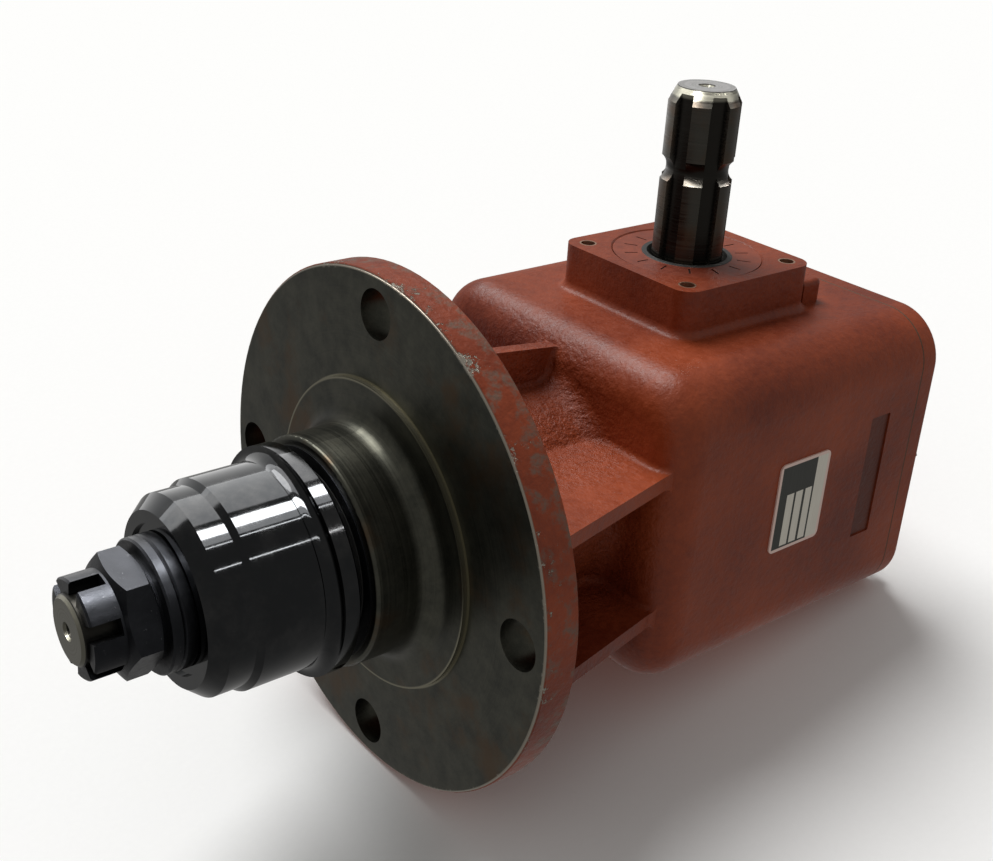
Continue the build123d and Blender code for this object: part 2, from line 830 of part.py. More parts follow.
def roller_shape(section, size, extra_r=0.0, extra_l=0.0):
    """One tapered roller lying in a section plane, with an allowance for cutting its pocket."""
    middle, middle_r, tilt, taper, apex = bearing_lines(size)
    reach = middle_r / sin(tilt)
    half_length = size["roller_length"] / 2 + extra_l
    near = reach - half_length
    far = reach + half_length
    apex_point = section.origin + section.x_dir * apex
    along = section.x_dir * -cos(tilt) + section.y_dir * sin(tilt)
    roller_section = Plane(origin=apex_point, x_dir=along, z_dir=section.z_dir)
    return turn(
        roller_section,
        [
            (near, 0),
            (near, near * tan(taper) + extra_r),
            (far, far * tan(taper) + extra_r),
            (far, 0),
        ],
    )


def around(section, part, count):
    """Copies of a part spread evenly round a section's axis."""
    axis = Axis(section.origin, section.x_dir)
    return [part.rotate(axis, 360 / count * index) for index in range(count)]


def make_rollers(section, size):
    """The full set of tapered rollers, one solid each."""
    roller = roller_shape(section, size)
    with BuildPart() as rollers:
        add(around(section, roller.part, size["rollers"]))
    return rollers


def make_cage(section, size):
    """Conical cage with a pocket for each roller."""
    middle, middle_r, tilt, taper, apex = bearing_lines(size)
    reach = size["roller_length"] / 2 * cos(tilt) + cage_t + cage_rim
    start = middle - reach
    end = middle + reach
    slope = tan(tilt)
    low = cage_t / 2
    high = low + cage_t
    shell = turn(
        section,
        [
            (start, (apex - start) * slope + low),
            (end, (apex - end) * slope + low),
            (end, (apex - end) * slope + high),
            (start, (apex - start) * slope + high),
        ],
    )
    pocket = roller_shape(section, size, cage_gap, cage_gap)
    with BuildPart() as cage:
        add(shell.part)
        add(around(section, pocket.part, size["rollers"]), mode=Mode.SUBTRACT)
    return cage


# --- Bevel gears --------------------------------------------------------------------------------
def bevel_tooth(pitch_r, cone_angle):
    """One straight bevel tooth on an axis along +Z with the pitch cone's point at the origin.

    The flanks are involutes of the virtual gear on the back cone, and shrink towards the point.
    """
    cone = radians(cone_angle)
    reach = pitch_r / sin(cone)
    virtual_r = pitch_r / cos(cone)
    base_r = virtual_r * cos(radians(pressure_angle))
    root_r = virtual_r - root_depth_factor * tooth_module
    tip_r = virtual_r + tooth_module
    half_tooth = (pi * tooth_module / 2 - tooth_backlash) / 2 / virtual_r
    roll = tan(radians(pressure_angle)) - radians(pressure_angle)

    def half_angle(radius):
        turn_in = acos(min(1.0, base_r / radius))
        return half_tooth + roll - (tan(turn_in) - turn_in)

    start_r = max(base_r, root_r)
    radii = [start_r + (tip_r - start_r) * step / flank_steps for step in range(flank_steps + 1)]
    flank = [(radius * cos(half_angle(radius)), radius * sin(half_angle(radius))) for radius in radii]
    foot_r = root_r - tooth_root_sink
    foot = (foot_r * cos(half_angle(start_r)), foot_r * sin(half_angle(start_r)))
    sections = []
    for scale in (1.0, (reach - tooth_face) / reach):
        outward = Vector(sin(cone), 0, cos(cone))
        across_tooth = Vector(cos(cone), 0, -sin(cone))
        centre = outward * (reach * scale) - across_tooth * (virtual_r * scale)
        points = [(x * scale, y * scale) for x, y in [foot] + flank]
        mirrored = [(x, -y) for x, y in reversed(points)]
        with BuildSketch(Plane(origin=centre, x_dir=across_tooth, z_dir=outward)) as section:
            with BuildLine():
                Line(points[0], points[1])
                Spline(*points[1:])
                Line(points[-1], mirrored[0])
                Spline(*mirrored[:-1])
                Line(mirrored[-2], mirrored[-1])
                Line(mirrored[-1], points[0])
            make_face()
        sections.append(section.sketch)
    with BuildPart() as tooth:
        loft(sections, ruled=True)
    return tooth


def cone_point(pitch_r, cone_angle, scale, height):
    """(along, radius) of a point at a height above the pitch line, on the back cone or inside it."""
    cone = radians(cone_angle)
    reach = pitch_r / sin(cone) * scale
    return reach * cos(cone) - height * scale * sin(cone), reach * sin(cone) + height * scale * cos(cone)


cone_reach = sqrt(pitch_gear**2 + pitch_pinion**2)
outer_scale = 1 + tooth_end_step / cone_reach
inner_scale = 1 - (tooth_face + tooth_end_step) / cone_reach
root_height = -root_depth_factor * tooth_module


def toothed(section, outline, pitch_r, cone_angle, teeth, phase):
    """Turned blank with its ring of bevel teeth; the section starts at the cone's point."""
    blank = turn(section, outline)
    tooth = bevel_tooth(pitch_r, cone_angle)
    place = Plane(origin=section.origin, x_dir=section.y_dir, z_dir=section.x_dir).location
    first = tooth.part.rotate(Axis.Z, phase).moved(place)
    with BuildPart() as gear:
        add(blank.part)
        add(around(section, first, teeth))
    return gear


def make_input_gear():
    """Crown gear on the input shaft: teeth face down, hub reaches up to the upper bearing."""
    back_root = cone_point(pitch_gear, gear_cone, outer_scale, root_height)
    front_root = cone_point(pitch_gear, gear_cone, inner_scale, root_height)
    web_top = back_root[0] + gear_back_web
    hub_r = gear_hub_d / 2
    gear = toothed(
        input_section,
        [
            (gear_seat_bottom, gear_seat_root_d / 2 - overlap),
            (upper_cone_back, gear_seat_root_d / 2 - overlap),
            (upper_cone_back, hub_r),
            (web_top, hub_r),
            (web_top, back_root[1] - gear_rim_step),
            (web_top - gear_rim_step, back_root[1]),
            back_root,
            front_root,
            (gear_seat_bottom, hub_r + gear_rim_step),
        ],
        pitch_gear,
        gear_cone,
        gear_teeth,
        180,
    )
    with BuildPart() as bored:
        add(gear.part)
        hole = spline_section(
            across(input_section, gear_seat_bottom - overlap),
            gear_seat_root_d / 2 + spline_gap,
            gear_seat_tip_d / 2 + spline_gap,
            gear_seat_tooth_width + 2 * spline_gap,
            gear_seat_teeth,
            0,
        )
        extrude(hole.sketch, amount=upper_cone_back - gear_seat_bottom + 2 * overlap, mode=Mode.SUBTRACT)
    return bored


def centre_hole():
    """Small conical hole cut into a shaft's end."""
    Cone(
        centre_hole_bottom_r,
        centre_hole_d,
        2 * centre_hole_d,
        align=(Align.CENTER, Align.CENTER, Align.MAX),
        mode=Mode.SUBTRACT,
    )


def spline_bar(plane, length, root_r, tip_r, tooth_width, teeth, phase):
    """Straight-sided splined bar."""
    with BuildPart() as bar:
        extrude(
            spline_section(plane, root_r, tip_r, tooth_width, teeth, phase).sketch, amount=length
        )
    return bar


def make_input_shaft():
    """Input shaft: six-spline end, seal and bearing journals, gear seat and lower journal."""
    journal_r = small_bearing["bore"] / 2
    low = lower_cup_back + shaft_short_of_bearing
    tip = pad_top + pto_length
    core_top = pad_top - spline_start_below_pad
    core = turn(
        input_section,
        [
            (low, 0),
            (low, journal_r - break_edge),
            (low + break_edge, journal_r),
            (lower_cone_back, journal_r),
            (lower_cone_back, input_shaft_d / 2),
            (gear_seat_bottom, input_shaft_d / 2),
            (gear_seat_bottom, gear_seat_root_d / 2),
            (upper_cone_back, gear_seat_root_d / 2),
            (upper_cone_back, journal_r),
            (core_top, journal_r),
            (core_top, 0),
        ],
    )
    gear_seat = spline_bar(
        across(input_section, gear_seat_bottom),
        upper_cone_back - gear_seat_bottom,
        gear_seat_root_d / 2,
        gear_seat_tip_d / 2,
        gear_seat_tooth_width,
        gear_seat_teeth,
        0,
    )
    end_r = pto_tip_d / 2 - pto_tip_chamfer_r
    trim = turn(
        input_section,
        [
            (core_top - overlap, 0),
            (core_top - overlap, pto_tip_d / 2),
            (tip - pto_tip_chamfer_l, pto_tip_d / 2),
            (tip, end_r),
            (tip, 0),
        ],
    )
    groove = pto_groove()
    with BuildPart() as pto:
        extrude(
            spline_section(
                across(input_section, core_top),
                pto_root_d / 2,
                pto_tip_d / 2,
                pto_tooth_width,
                pto_teeth,
                pto_phase,
            ).sketch,
            amount=tip - core_top,
        )
        add(trim.part, mode=Mode.INTERSECT)
        add(groove.part, mode=Mode.SUBTRACT)
    with BuildPart() as shaft:
        add(core.part)
        add(gear_seat.part)
        add(pto.part)
        with Locations(across(input_section, tip)):
            centre_hole()
    return shaft


def pto_groove():
    """Ring-shaped cutter for the locking groove near the splined end."""
    centre_x = pad_top + pto_length - pto_groove_from_tip
    centre_r = pto_groove_root_d / 2 + pto_groove_r
    with BuildPart() as groove:
        with BuildSketch(input_section):
            with Locations((centre_x, centre_r)):
                Circle(pto_groove_r)
        revolve(axis=Axis(input_section.origin, input_section.x_dir))
    return groove


def make_output_shaft():
    """Output shaft with the pinion cut on it, bearing journals, hub spline and threaded end."""
    crossing = Plane(origin=(shaft_offset, 0, 0), x_dir=(-1, 0, 0), z_dir=(0, 1, 0))
    back_root = cone_point(pitch_pinion, pinion_cone, outer_scale, root_height)
    front_root = cone_point(pitch_pinion, pinion_cone, inner_scale, root_height)
    journal_r = large_bearing["bore"] / 2
    journal_start = shaft_offset - inner_cone_back
    journal_end = shaft_offset - outer_cone_back
    spline_end = shaft_offset - hub_front - shaft_end_inside_hub
    tip = shaft_offset - shaft_tip
    pinion = toothed(
        crossing,
        [
            (front_root[0] - pinion_nose, 0),
            (front_root[0] - pinion_nose, front_root[1] - pinion_nose),
            front_root,
            back_root,
            (journal_start - pinion_shoulder_l, journal_r + pinion_shoulder),
            (journal_start, journal_r + pinion_shoulder),
            (journal_start, journal_r),
            (journal_end, journal_r),
            (journal_end, hub_spline_tip_d / 2),
            (journal_end + hub_pilot_length, hub_spline_tip_d / 2),
            (journal_end + hub_pilot_length, hub_spline_root_d / 2),
            (spline_end, hub_spline_root_d / 2),
            (spline_end, nut_thread_d / 2),
            (tip - tip_chamfer, nut_thread_d / 2),
            (tip, nut_thread_d / 2 - tip_chamfer),
            (tip, 0),
        ],
        pitch_pinion,
        pinion_cone,
        pinion_teeth,
        180 / pinion_teeth,
    )
    spline_start = journal_end + hub_pilot_length
    splines = spline_bar(
        across(crossing, spline_start),
        spline_end - spline_start,
        hub_spline_root_d / 2,
        hub_spline_tip_d / 2,
        hub_spline_width,
        hub_spline_teeth,
        0,
    )
    with BuildPart() as shaft:
        add(pinion.part)
        add(splines.part)
        with Locations(across(crossing, tip)):
            centre_hole()
    return shaft


# --- Hub, washers and nut -----------------------------------------------------------------------
def make_hub():
    """Turned hub: journal in the seal, large ring, two cylinders and a chamfered nose."""
    ring_front = hub_rear - hub_ring_t
    body_r = hub_body_d / 2
    nose_r = hub_nose_d / 2
    ring_r = hub_ring_d / 2
    groove_end = ring_front - hub_groove_r
    with BuildPart() as hub:
        with BuildSketch(output_section):
            with BuildLine():
                Polyline(
                    (outer_cone_back, 0),
                    (outer_cone_back, output_seal_journal_d / 2),
                    (hub_rear, output_seal_journal_d / 2),
                    (hub_rear, ring_r - hub_edge),
                    (hub_rear - hub_edge, ring_r),
                    (ring_front, ring_r),
                    (ring_front, body_r + hub_groove_r - hub_groove_depth),
                )
                RadiusArc(
                    (ring_front, body_r + hub_groove_r - hub_groove_depth),
                    (groove_end, body_r - hub_groove_depth),
                    hub_groove_r,
                )
                Polyline(
                    (groove_end, body_r - hub_groove_depth),
                    (groove_end - hub_groove_depth, body_r),
                    (hub_step_x, body_r),
                    (hub_step_x - hub_step_l, nose_r),
                    (hub_front + hub_chamfer_l, nose_r),
                    (hub_front, nose_r - hub_chamfer_r),
                    (hub_front, hub_face_recess_d / 2),
                    (hub_front + hub_face_recess, hub_face_recess_d / 2),
                    (hub_front + hub_face_recess, 0),
                    (outer_cone_back, 0),
                )
            make_face()
        revolve(axis=Axis.X)
        spline_start = outer_cone_back - hub_pilot_length
        extrude(
            spline_section(
                across(output_section, hub_front - overlap),
                hub_spline_root_d / 2 + spline_gap,
                hub_spline_tip_d / 2 + spline_gap,
                hub_spline_width + 2 * spline_gap,
                hub_spline_teeth,
                0,
            ).sketch,
            amount=spline_start - hub_front + overlap,
            mode=Mode.SUBTRACT,
        )
        with BuildSketch(across(output_section, spline_start)):
            Circle(hub_spline_tip_d / 2 + spline_gap)
        extrude(amount=hub_pilot_length + overlap, mode=Mode.SUBTRACT)
    return hub


def make_washer(back, thickness, outside):
    """Hardened washer with broken edges, its back face at a place on the output axis."""
    inner_r = nut_thread_d / 2 + washer_bore_gap
    outer_r = outside / 2
    front = back - thickness
    return turn(
        output_section,
        [
            (back, inner_r),
            (back, outer_r - washer_edge),
            (back - washer_edge, outer_r),
            (front + washer_edge, outer_r),
            (front, outer_r - washer_edge),
            (front, inner_r),
        ],
    )


def make_castle_nut():
    """Castle nut: turned collar, chamfered hexagon and a slotted crown."""
    hex_start = washer_front - nut_collar_t
    hex_end = hex_start - nut_hex_h
    corner_r = nut_flats / 2 / cos(radians(30))
    envelope = turn(
        output_section,
        [
            (washer_front, 0),
            (washer_front, nut_collar_d / 2),
            (hex_start, nut_collar_d / 2),
            (hex_start - (corner_r - nut_collar_d / 2) / 2, corner_r),
            (hex_end + (corner_r - nut_crown_d / 2) / 2, corner_r),
            (hex_end, nut_crown_d / 2),
            (nut_front + nut_crown_edge, nut_crown_d / 2),
            (nut_front, nut_crown_d / 2 - nut_crown_edge),
            (nut_front, 0),
        ],
    )
    with BuildPart() as nut:
        with BuildSketch(across(output_section, hex_end)):
            RegularPolygon(nut_flats / 2, 6, major_radius=False, rotation=nut_vertex_angle)
        extrude(amount=nut_hex_h + nut_collar_t)
        with BuildSketch(across(output_section, nut_front)):
            Circle(nut_crown_d / 2)
        extrude(amount=nut_crown_h)
        add(envelope.part, mode=Mode.INTERSECT)
        with BuildSketch(across(output_section, nut_front)):
            with PolarLocations(0, 6, start_angle=nut_vertex_angle + 30):
                Rectangle(nut_flats, nut_slot_w, align=(Align.MIN, Align.CENTER))
        extrude(amount=nut_slot_depth, mode=Mode.SUBTRACT)
        with BuildSketch(across(output_section, nut_front - overlap)):
            Circle(nut_thread_d / 2 + thread_gap)
        extrude(amount=washer_front - nut_front + 2 * overlap, mode=Mode.SUBTRACT)
    return nut


# --- Seals, snap rings, shims, caps and spacers ---------------------------------------------------
def seal_section(section, face, direction):
    """Section plane that starts at a seal's outer face and runs into the housing."""
    start = section.origin + section.x_dir * face
    return Plane(origin=start, x_dir=section.x_dir * direction, z_dir=section.z_dir * direction)


def make_seal_case(section, outer_r, face_r, width, rim_t, proud):
    """Pressed steel case of a shaft seal: a cylinder with a flat face, and a rim that may stand out."""
    rim = [(0, outer_r)]
    if proud > 0:
        rim = [(-proud, outer_r), (-proud, outer_r - rim_t), (0, outer_r - rim_t)]
    return turn(
        section,
        rim
        + [
            (0, face_r),
            (seal_case_t, face_r),
            (seal_case_t, outer_r - seal_case_t),
            (width, outer_r - seal_case_t),
            (width, outer_r),
        ],
    )


def make_seal_lip(section, face_r, mouth_r, journal_r, width):
    """Rubber lip ring: a collar in the case's face and a lip that runs on the journal."""
    lip_r = journal_r + seal_running_gap
    lip_end = width * seal_lip_end
    return turn(
        section,
        [
            (0, face_r),
            (-seal_collar_proud, face_r - seal_collar_proud),
            (-seal_collar_proud, mouth_r),
            (width * seal_lip_start, lip_r + seal_lip_slope),
            (width * seal_band_start, lip_r),
            (width * seal_band_end, lip_r),
            (lip_end, lip_r + seal_lip_slope),
            (lip_end, lip_r + seal_lip_t),
            (seal_case_t + seal_lip_t, lip_r + seal_lip_t),
            (seal_case_t + seal_lip_t, face_r),
        ],
    )


def make_seal_spring(section, journal_r, width):
    """Garter spring that presses the lip onto the journal."""
    spring_x = width * seal_lip_end - 2 * seal_spring_r
    spring_y = journal_r + seal_running_gap + seal_lip_t + seal_spring_r + thread_gap
    with BuildPart() as spring:
        with BuildSketch(section):
            with Locations((spring_x, spring_y)):
                Circle(seal_spring_r)
        revolve(axis=Axis(section.origin, section.x_dir))
    return spring


def mark_seal(case, section):
    """Cut short grooves round a seal case's face, pointing at the shaft."""
    with BuildPart() as marked:
        add(case.part)
        with BuildSketch(across(section, 0)):
            with PolarLocations(seal_mark_inner_r, seal_mark_count, start_angle=seal_mark_start):
                Rectangle(seal_mark_l, seal_mark_w, align=(Align.MIN, Align.CENTER))
        extrude(amount=seal_mark_depth, mode=Mode.SUBTRACT)
    return marked


def make_snap_ring(section, outer_face, direction):
    """Internal snap ring, seated in its groove and open on one side."""
    groove_r = small_bearing["outside"] / 2 + snap_ring_groove - snap_ring_seat_gap
    with BuildPart() as ring:
        with BuildSketch(across(section, outer_face)):
            Circle(groove_r)
            Circle(groove_r - snap_ring_radial, mode=Mode.SUBTRACT)
            with Locations((groove_r, 0)):
                Rectangle(groove_r, snap_ring_opening, mode=Mode.SUBTRACT)
        extrude(amount=direction * snap_ring_t)
    return ring


def make_end_cap():
    """Pressed cap that closes the lower bearing's bore."""
    outer_r = small_bearing["outside"] / 2
    low = -case_half_h + end_cap_recess
    return turn(
        input_section,
        [
            (low, 0),
            (low, outer_r - break_edge),
            (low + break_edge, outer_r),
            (low + end_cap_t, outer_r),
            (low + end_cap_t, outer_r - end_cap_wall),
            (low + end_cap_wall, outer_r - end_cap_wall),
            (low + end_cap_wall, 0),
        ],
    )


def make_all():
    """Build every piece and write it to its own file."""
    small_r = small_bearing["outside"] / 2
    save(make_housing(), "housing")
    save(make_cover(), "rear_cover")
    save(make_gasket(), "cover_gasket")
    save(make_cover_bolts(), "cover_bolts")
    save(make_plug(breather_section, cap=True), "filler_breather_plug")
    save(make_plug(level_section, cap=False), "oil_level_plug")
    save(make_plug_washers(), "plug_washers")
    save(make_plate(), "nameplate")
    save(make_input_shaft(), "input_shaft")
    save(make_input_gear(), "input_bevel_gear")
    save(make_output_shaft(), "output_pinion_shaft")

    bearings = {
        "input_upper": (bearing_section(input_section, upper_cone_back, 1), small_bearing),
        "input_lower": (bearing_section(input_section, lower_cone_back, -1), small_bearing),
        "output_inner": (bearing_section(output_section, inner_cone_back, -1), large_bearing),
        "output_outer": (bearing_section(output_section, outer_cone_back, 1), large_bearing),
    }
    for name, (section, size) in bearings.items():
        save(make_cup(section, size), f"{name}_bearing_cup")
        save(make_cone(section, size), f"{name}_bearing_cone")
        save(make_rollers(section, size), f"{name}_bearing_rollers")
        save(make_cage(section, size), f"{name}_bearing_cage")

    input_face = seal_section(input_section, seal_top, -1)
    output_face = seal_section(output_section, -boss_length, 1)
    input_journal_r = small_bearing["bore"] / 2
    output_journal_r = output_seal_journal_d / 2
    input_case = make_seal_case(input_face, small_r, input_seal_lip_face_r, input_seal_width, 0, 0)
    save(mark_seal(input_case, input_face), "input_seal_case")
    save(
        make_seal_lip(
            input_face, input_seal_lip_face_r, input_seal_lip_mouth_r, input_journal_r, input_seal_width
        ),
        "input_seal_lip",
    )
    save(
        make_seal_case(
            output_face,
            output_seal_d / 2,
            output_seal_lip_face_r,
            output_seal_width,
            output_seal_rim_t,
            output_seal_proud,
        ),
        "output_seal_case",
    )
    save(
        make_seal_lip(
            output_face,
            output_seal_lip_face_r,
            output_seal_lip_mouth_r,
            output_journal_r,
            output_seal_width,
        ),
        "output_seal_lip",
    )
    save(make_seal_spring(input_face, input_journal_r, input_seal_width), "input_seal_spring")
    save(make_seal_spring(output_face, output_journal_r, output_seal_width), "output_seal_spring")
    save(make_snap_ring(input_section, snap_top, -1), "input_upper_snap_ring")
    save(make_snap_ring(input_section, lower_cup_back - shim_t - snap_ring_t, 1), "input_lower_snap_ring")
    upper_shim = ring_outline(upper_cup_back, upper_cup_back + shim_t, small_r - shim_radial, small_r)
    lower_shim = ring_outline(lower_cup_back - shim_t, lower_cup_back, small_r - shim_radial, small_r)
    save(turn(input_section, upper_shim), "input_upper_shim")
    save(turn(input_section, lower_shim), "input_lower_shim")
    save(make_end_cap(), "input_end_cap")

    spacer_start = outer_cone_back + large_bearing["cone"]
    spacer_end = inner_cone_back - large_bearing["cone"]
    spacer_inner = large_bearing["bore"] / 2 + spline_gap
    spacer = ring_outline(spacer_start + shim_t, spacer_end, spacer_inner, spacer_inner + spacer_wall)
    shim = ring_outline(spacer_start, spacer_start + shim_t, spacer_inner, spacer_inner + spacer_wall)
    save(turn(output_section, spacer), "output_spacer")
    save(turn(output_section, shim), "output_shim")
    save(make_hub(), "output_hub")
    inner_back = hub_front + hub_face_recess
    save(make_washer(inner_back, inner_washer_t, washer_d), "inner_washer")
    save(make_washer(inner_back - inner_washer_t, outer_washer_t, washer_d), "outer_washer")
    save(make_castle_nut(), "castle_nut")


os.makedirs("parts", exist_ok=True)
make_all()
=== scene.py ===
"""Right angle bevel gearbox: finishes, floor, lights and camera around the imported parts.

Lengths are in metres, in the parts' own frame: the output shaft lies along -X and the input shaft
stands along +Z.
"""
import math

import bpy
import numpy as np
from mathutils import Matrix, Vector

MM_PER_M = 1000.0

# Places on the input side.
INPUT_AXIS_X = 0.181
PAD_TOP_Z = 0.1005
PAD_HOLE_REACH = 0.034
PAD_HOLE_R = 0.0042
SEAL_FACE_Z = 0.1001
SPLINE_ROOT_R = 0.0150
SPLINE_TOP_R = 0.0170
SHAFT_CHAMFER_Z = 0.1785
SHAFT_END_Z = 0.1807

# Places on the output side.
FLANGE_R = 0.120
FLANGE_BACK_X = 0.017
NECK_END_X = 0.100
NECK_R = 0.075
RAISED_DISC_R = 0.071
BOLT_CIRCLE_R = 0.103
BOLT_HOLE_R = 0.0113
SHAFT_TIP_X = -0.1392
THREAD_START_X = -0.098

# Places on the plate and on the recess beside it.
PLATE_CENTRE = (0.182, -0.089, 0.0035)
PLATE_HALF_WIDTH = 0.0175
PLATE_HALF_HEIGHT = 0.0235
PLATE_BORDER = 0.0016
RECESS_MIDDLE = (0.236, -0.0884, 0.002)
RECESS_HALF = (0.0070, 0.0005, 0.0330)

# Heights that lie below all of the pad's tapped holes, and below all of the seal case's marks.
PAD_HOLES_ABOVE_Z = 0.07
SEAL_MARKS_ABOVE_Z = 0.095

# Fades between two finishes on one piece: where the second one starts, and where it is full.
BARE_FACE_X = (0.0006, 0.0002)
FRONT_EDGE_X = (0.0009, 0.0005)
FLECKS_X = (0.0075, 0.0)
RUBBED_X = (0.004, FLANGE_BACK_X)
CORNER_R = (FLANGE_R - 0.0016, FLANGE_R - 0.0008)
RIM_R = (FLANGE_R - 0.0022, FLANGE_R - 0.0010)
# OFF_DISC_EDGE fades in the painted highlight line along the raised disc's edge.
OFF_DISC_EDGE = (0.0011, 0.0005)
SEAL_MARK_Z = (SEAL_FACE_Z - 0.00005, SEAL_FACE_Z - 0.0002)
CHAMFER_Z = (SHAFT_CHAMFER_Z - 0.0025, SHAFT_CHAMFER_Z - 0.0015)

# The coarse grain fades over this much to either side of the neck's end and its surface.
NECK_FADE = 0.01

# Planes just behind the end faces of the input shaft and the output shaft.
END_FACE_Z = SHAFT_END_Z - 0.0004
TIP_FACE_X = SHAFT_TIP_X + 0.0012

# Sockets of the Mix node when it mixes colours, and of the Map Range node.
MIX_A = 6
MIX_B = 7
MIX_RESULT = 2
FROM_LOW = 1
FROM_HIGH = 2
TO_LOW = 3
TO_HIGH = 4


def linear(hex_colour):
    """An sRGB hex colour as linear RGBA: each channel goes through the standard sRGB curve."""
    channels = np.array([int(hex_colour[i:i + 2], 16) for i in (1, 3, 5)]) / 255.0
    straight = channels / 12.92
    curved = ((channels + 0.055) / 1.055) ** 2.4
    return (*np.where(channels <= 0.04045, straight, curved).tolist(), 1.0)


def per_mm(size):
    """The texture scale, in repeats per metre, that gives a feature of this size in millimetres."""
    return MM_PER_M / size


def add(tree, kind, inputs=None, **settings):
    """Adds a node and gives its outputs.

    The settings go on the node, and the inputs are links from other outputs or plain values.
    """
    node = tree.nodes.new("ShaderNode" + kind)
    for name, value in settings.items():
        setattr(node, name, value)
    for name, value in (inputs or {}).items():
        if isinstance(value, bpy.types.NodeSocket):
            tree.links.new(value, node.inputs[name])
        else:
            node.inputs[name].default_value = value
    return node.outputs


def finish(name, build):
    """A material whose Principled shader takes the links or values that build(tree) gives by socket."""
    material = bpy.data.materials.new(name)
    material.use_nodes = True
    tree = material.node_tree
    shader = tree.nodes["Principled BSDF"]
    for socket, value in build(tree).items():
        if isinstance(value, bpy.types.NodeSocket):
            tree.links.new(value, shader.inputs[socket])
        else:
            shader.inputs[socket].default_value = value
    return material


# Each turning axis as a point on it and the turn that brings it to Z.
OUTPUT_AXIS = ((0.0, 0.0, 0.0), (0.0, math.pi / 2, 0.0))
INPUT_AXIS = ((INPUT_AXIS_X, 0.0, 0.0), (0.0, 0.0, 0.0))


def lathe_place(tree, point, centre, turn):
    """Where a point lies on a turned piece: its radius, its distance along the axis, and both as a place.

    The point is moved to the axis and turned so that the axis is Z. The radius is then the length of
    its X and Y, and the distance is its Z. A noise on the place runs in rings, as a cutting tool leaves
    it. Real tool marks are some tenths of a millimetre apart, too fine to show, so the finishes below
    draw them coarser, at 0.7 to 1.4 mm.
    """
    shifted = add(tree, "VectorMath", {0: point, 1: centre}, operation="SUBTRACT")[0]
    turned = add(tree, "Mapping", {"Vector": shifted, "Rotation": turn})[0]
    parts = add(tree, "SeparateXYZ", {0: turned})
    flat = add(tree, "CombineXYZ", {"X": parts["X"], "Y": parts["Y"]})[0]
    radius = add(tree, "VectorMath", {0: flat}, operation="LENGTH")["Value"]
    place = add(tree, "CombineXYZ", {"X": radius, "Y": parts["Z"]})[0]
    return {"radius": radius, "along": parts["Z"], "place": place}


def turned_metal(name, axis, dark, light, rough, ring_mm, cloud_mm, ring_depth_mm):
    """Metal turned on a lathe: colour clouds between two tones, and rings in the gloss and the relief."""

    def build(tree):
        point = add(tree, "TexCoord")["Object"]
        lathe = lathe_place(tree, point, *axis)
        clouds = add(
            tree, "TexNoise", {"Vector": point, "Scale": per_mm(cloud_mm), "Detail": 5.0, "Roughness": 0.6}
        )["Fac"]
        spread = add(
            tree, "MapRange", {0: clouds, FROM_LOW: 0.35, FROM_HIGH: 0.68}, interpolation_type="SMOOTHSTEP"
        )[0]
        colour = add(
            tree, "Mix", {0: spread, MIX_A: linear(dark), MIX_B: linear(light)}, data_type="RGBA"
        )[MIX_RESULT]
        rings = add(
            tree, "TexNoise", {"Vector": lathe["place"], "Scale": per_mm(ring_mm), "Detail": 3.0}
        )["Fac"]
        gloss = add(
            tree, "MapRange",
            {0: rings, FROM_LOW: 0.3, FROM_HIGH: 0.7, TO_LOW: rough[0], TO_HIGH: rough[1]},
        )[0]
        relief = add(tree, "Bump", {"Height": rings, "Distance": ring_depth_mm / MM_PER_M})[0]
        return {"Base Color": colour, "Roughness": gloss, "Normal": relief, "Metallic": 1.0}

    return finish(name, build)


def casting_paint(tree, point):
    """Red oxide enamel, sprayed thin: its colour in slow clouds with fine mottling."""
    slow = add(tree, "TexNoise", {"Vector": point, "Scale": per_mm(70.0), "Detail": 3.0})["Fac"]
    fine = add(
        tree, "TexNoise", {"Vector": point, "Scale": per_mm(4.0), "Detail": 5.0, "Roughness": 0.65}
    )["Fac"]
    mixed = add(tree, "Math", {0: fine, 1: 0.45, 2: slow}, operation="MULTIPLY_ADD")[0]
    share = add(tree, "MapRange", {0: mixed, FROM_LOW: 0.5, FROM_HIGH: 0.95})[0]
    colour = add(
        tree, "Mix", {0: share, MIX_A: linear("#6C2914"), MIX_B: linear("#9C4624")}, data_type="RGBA"
    )[MIX_RESULT]
    return colour, fine


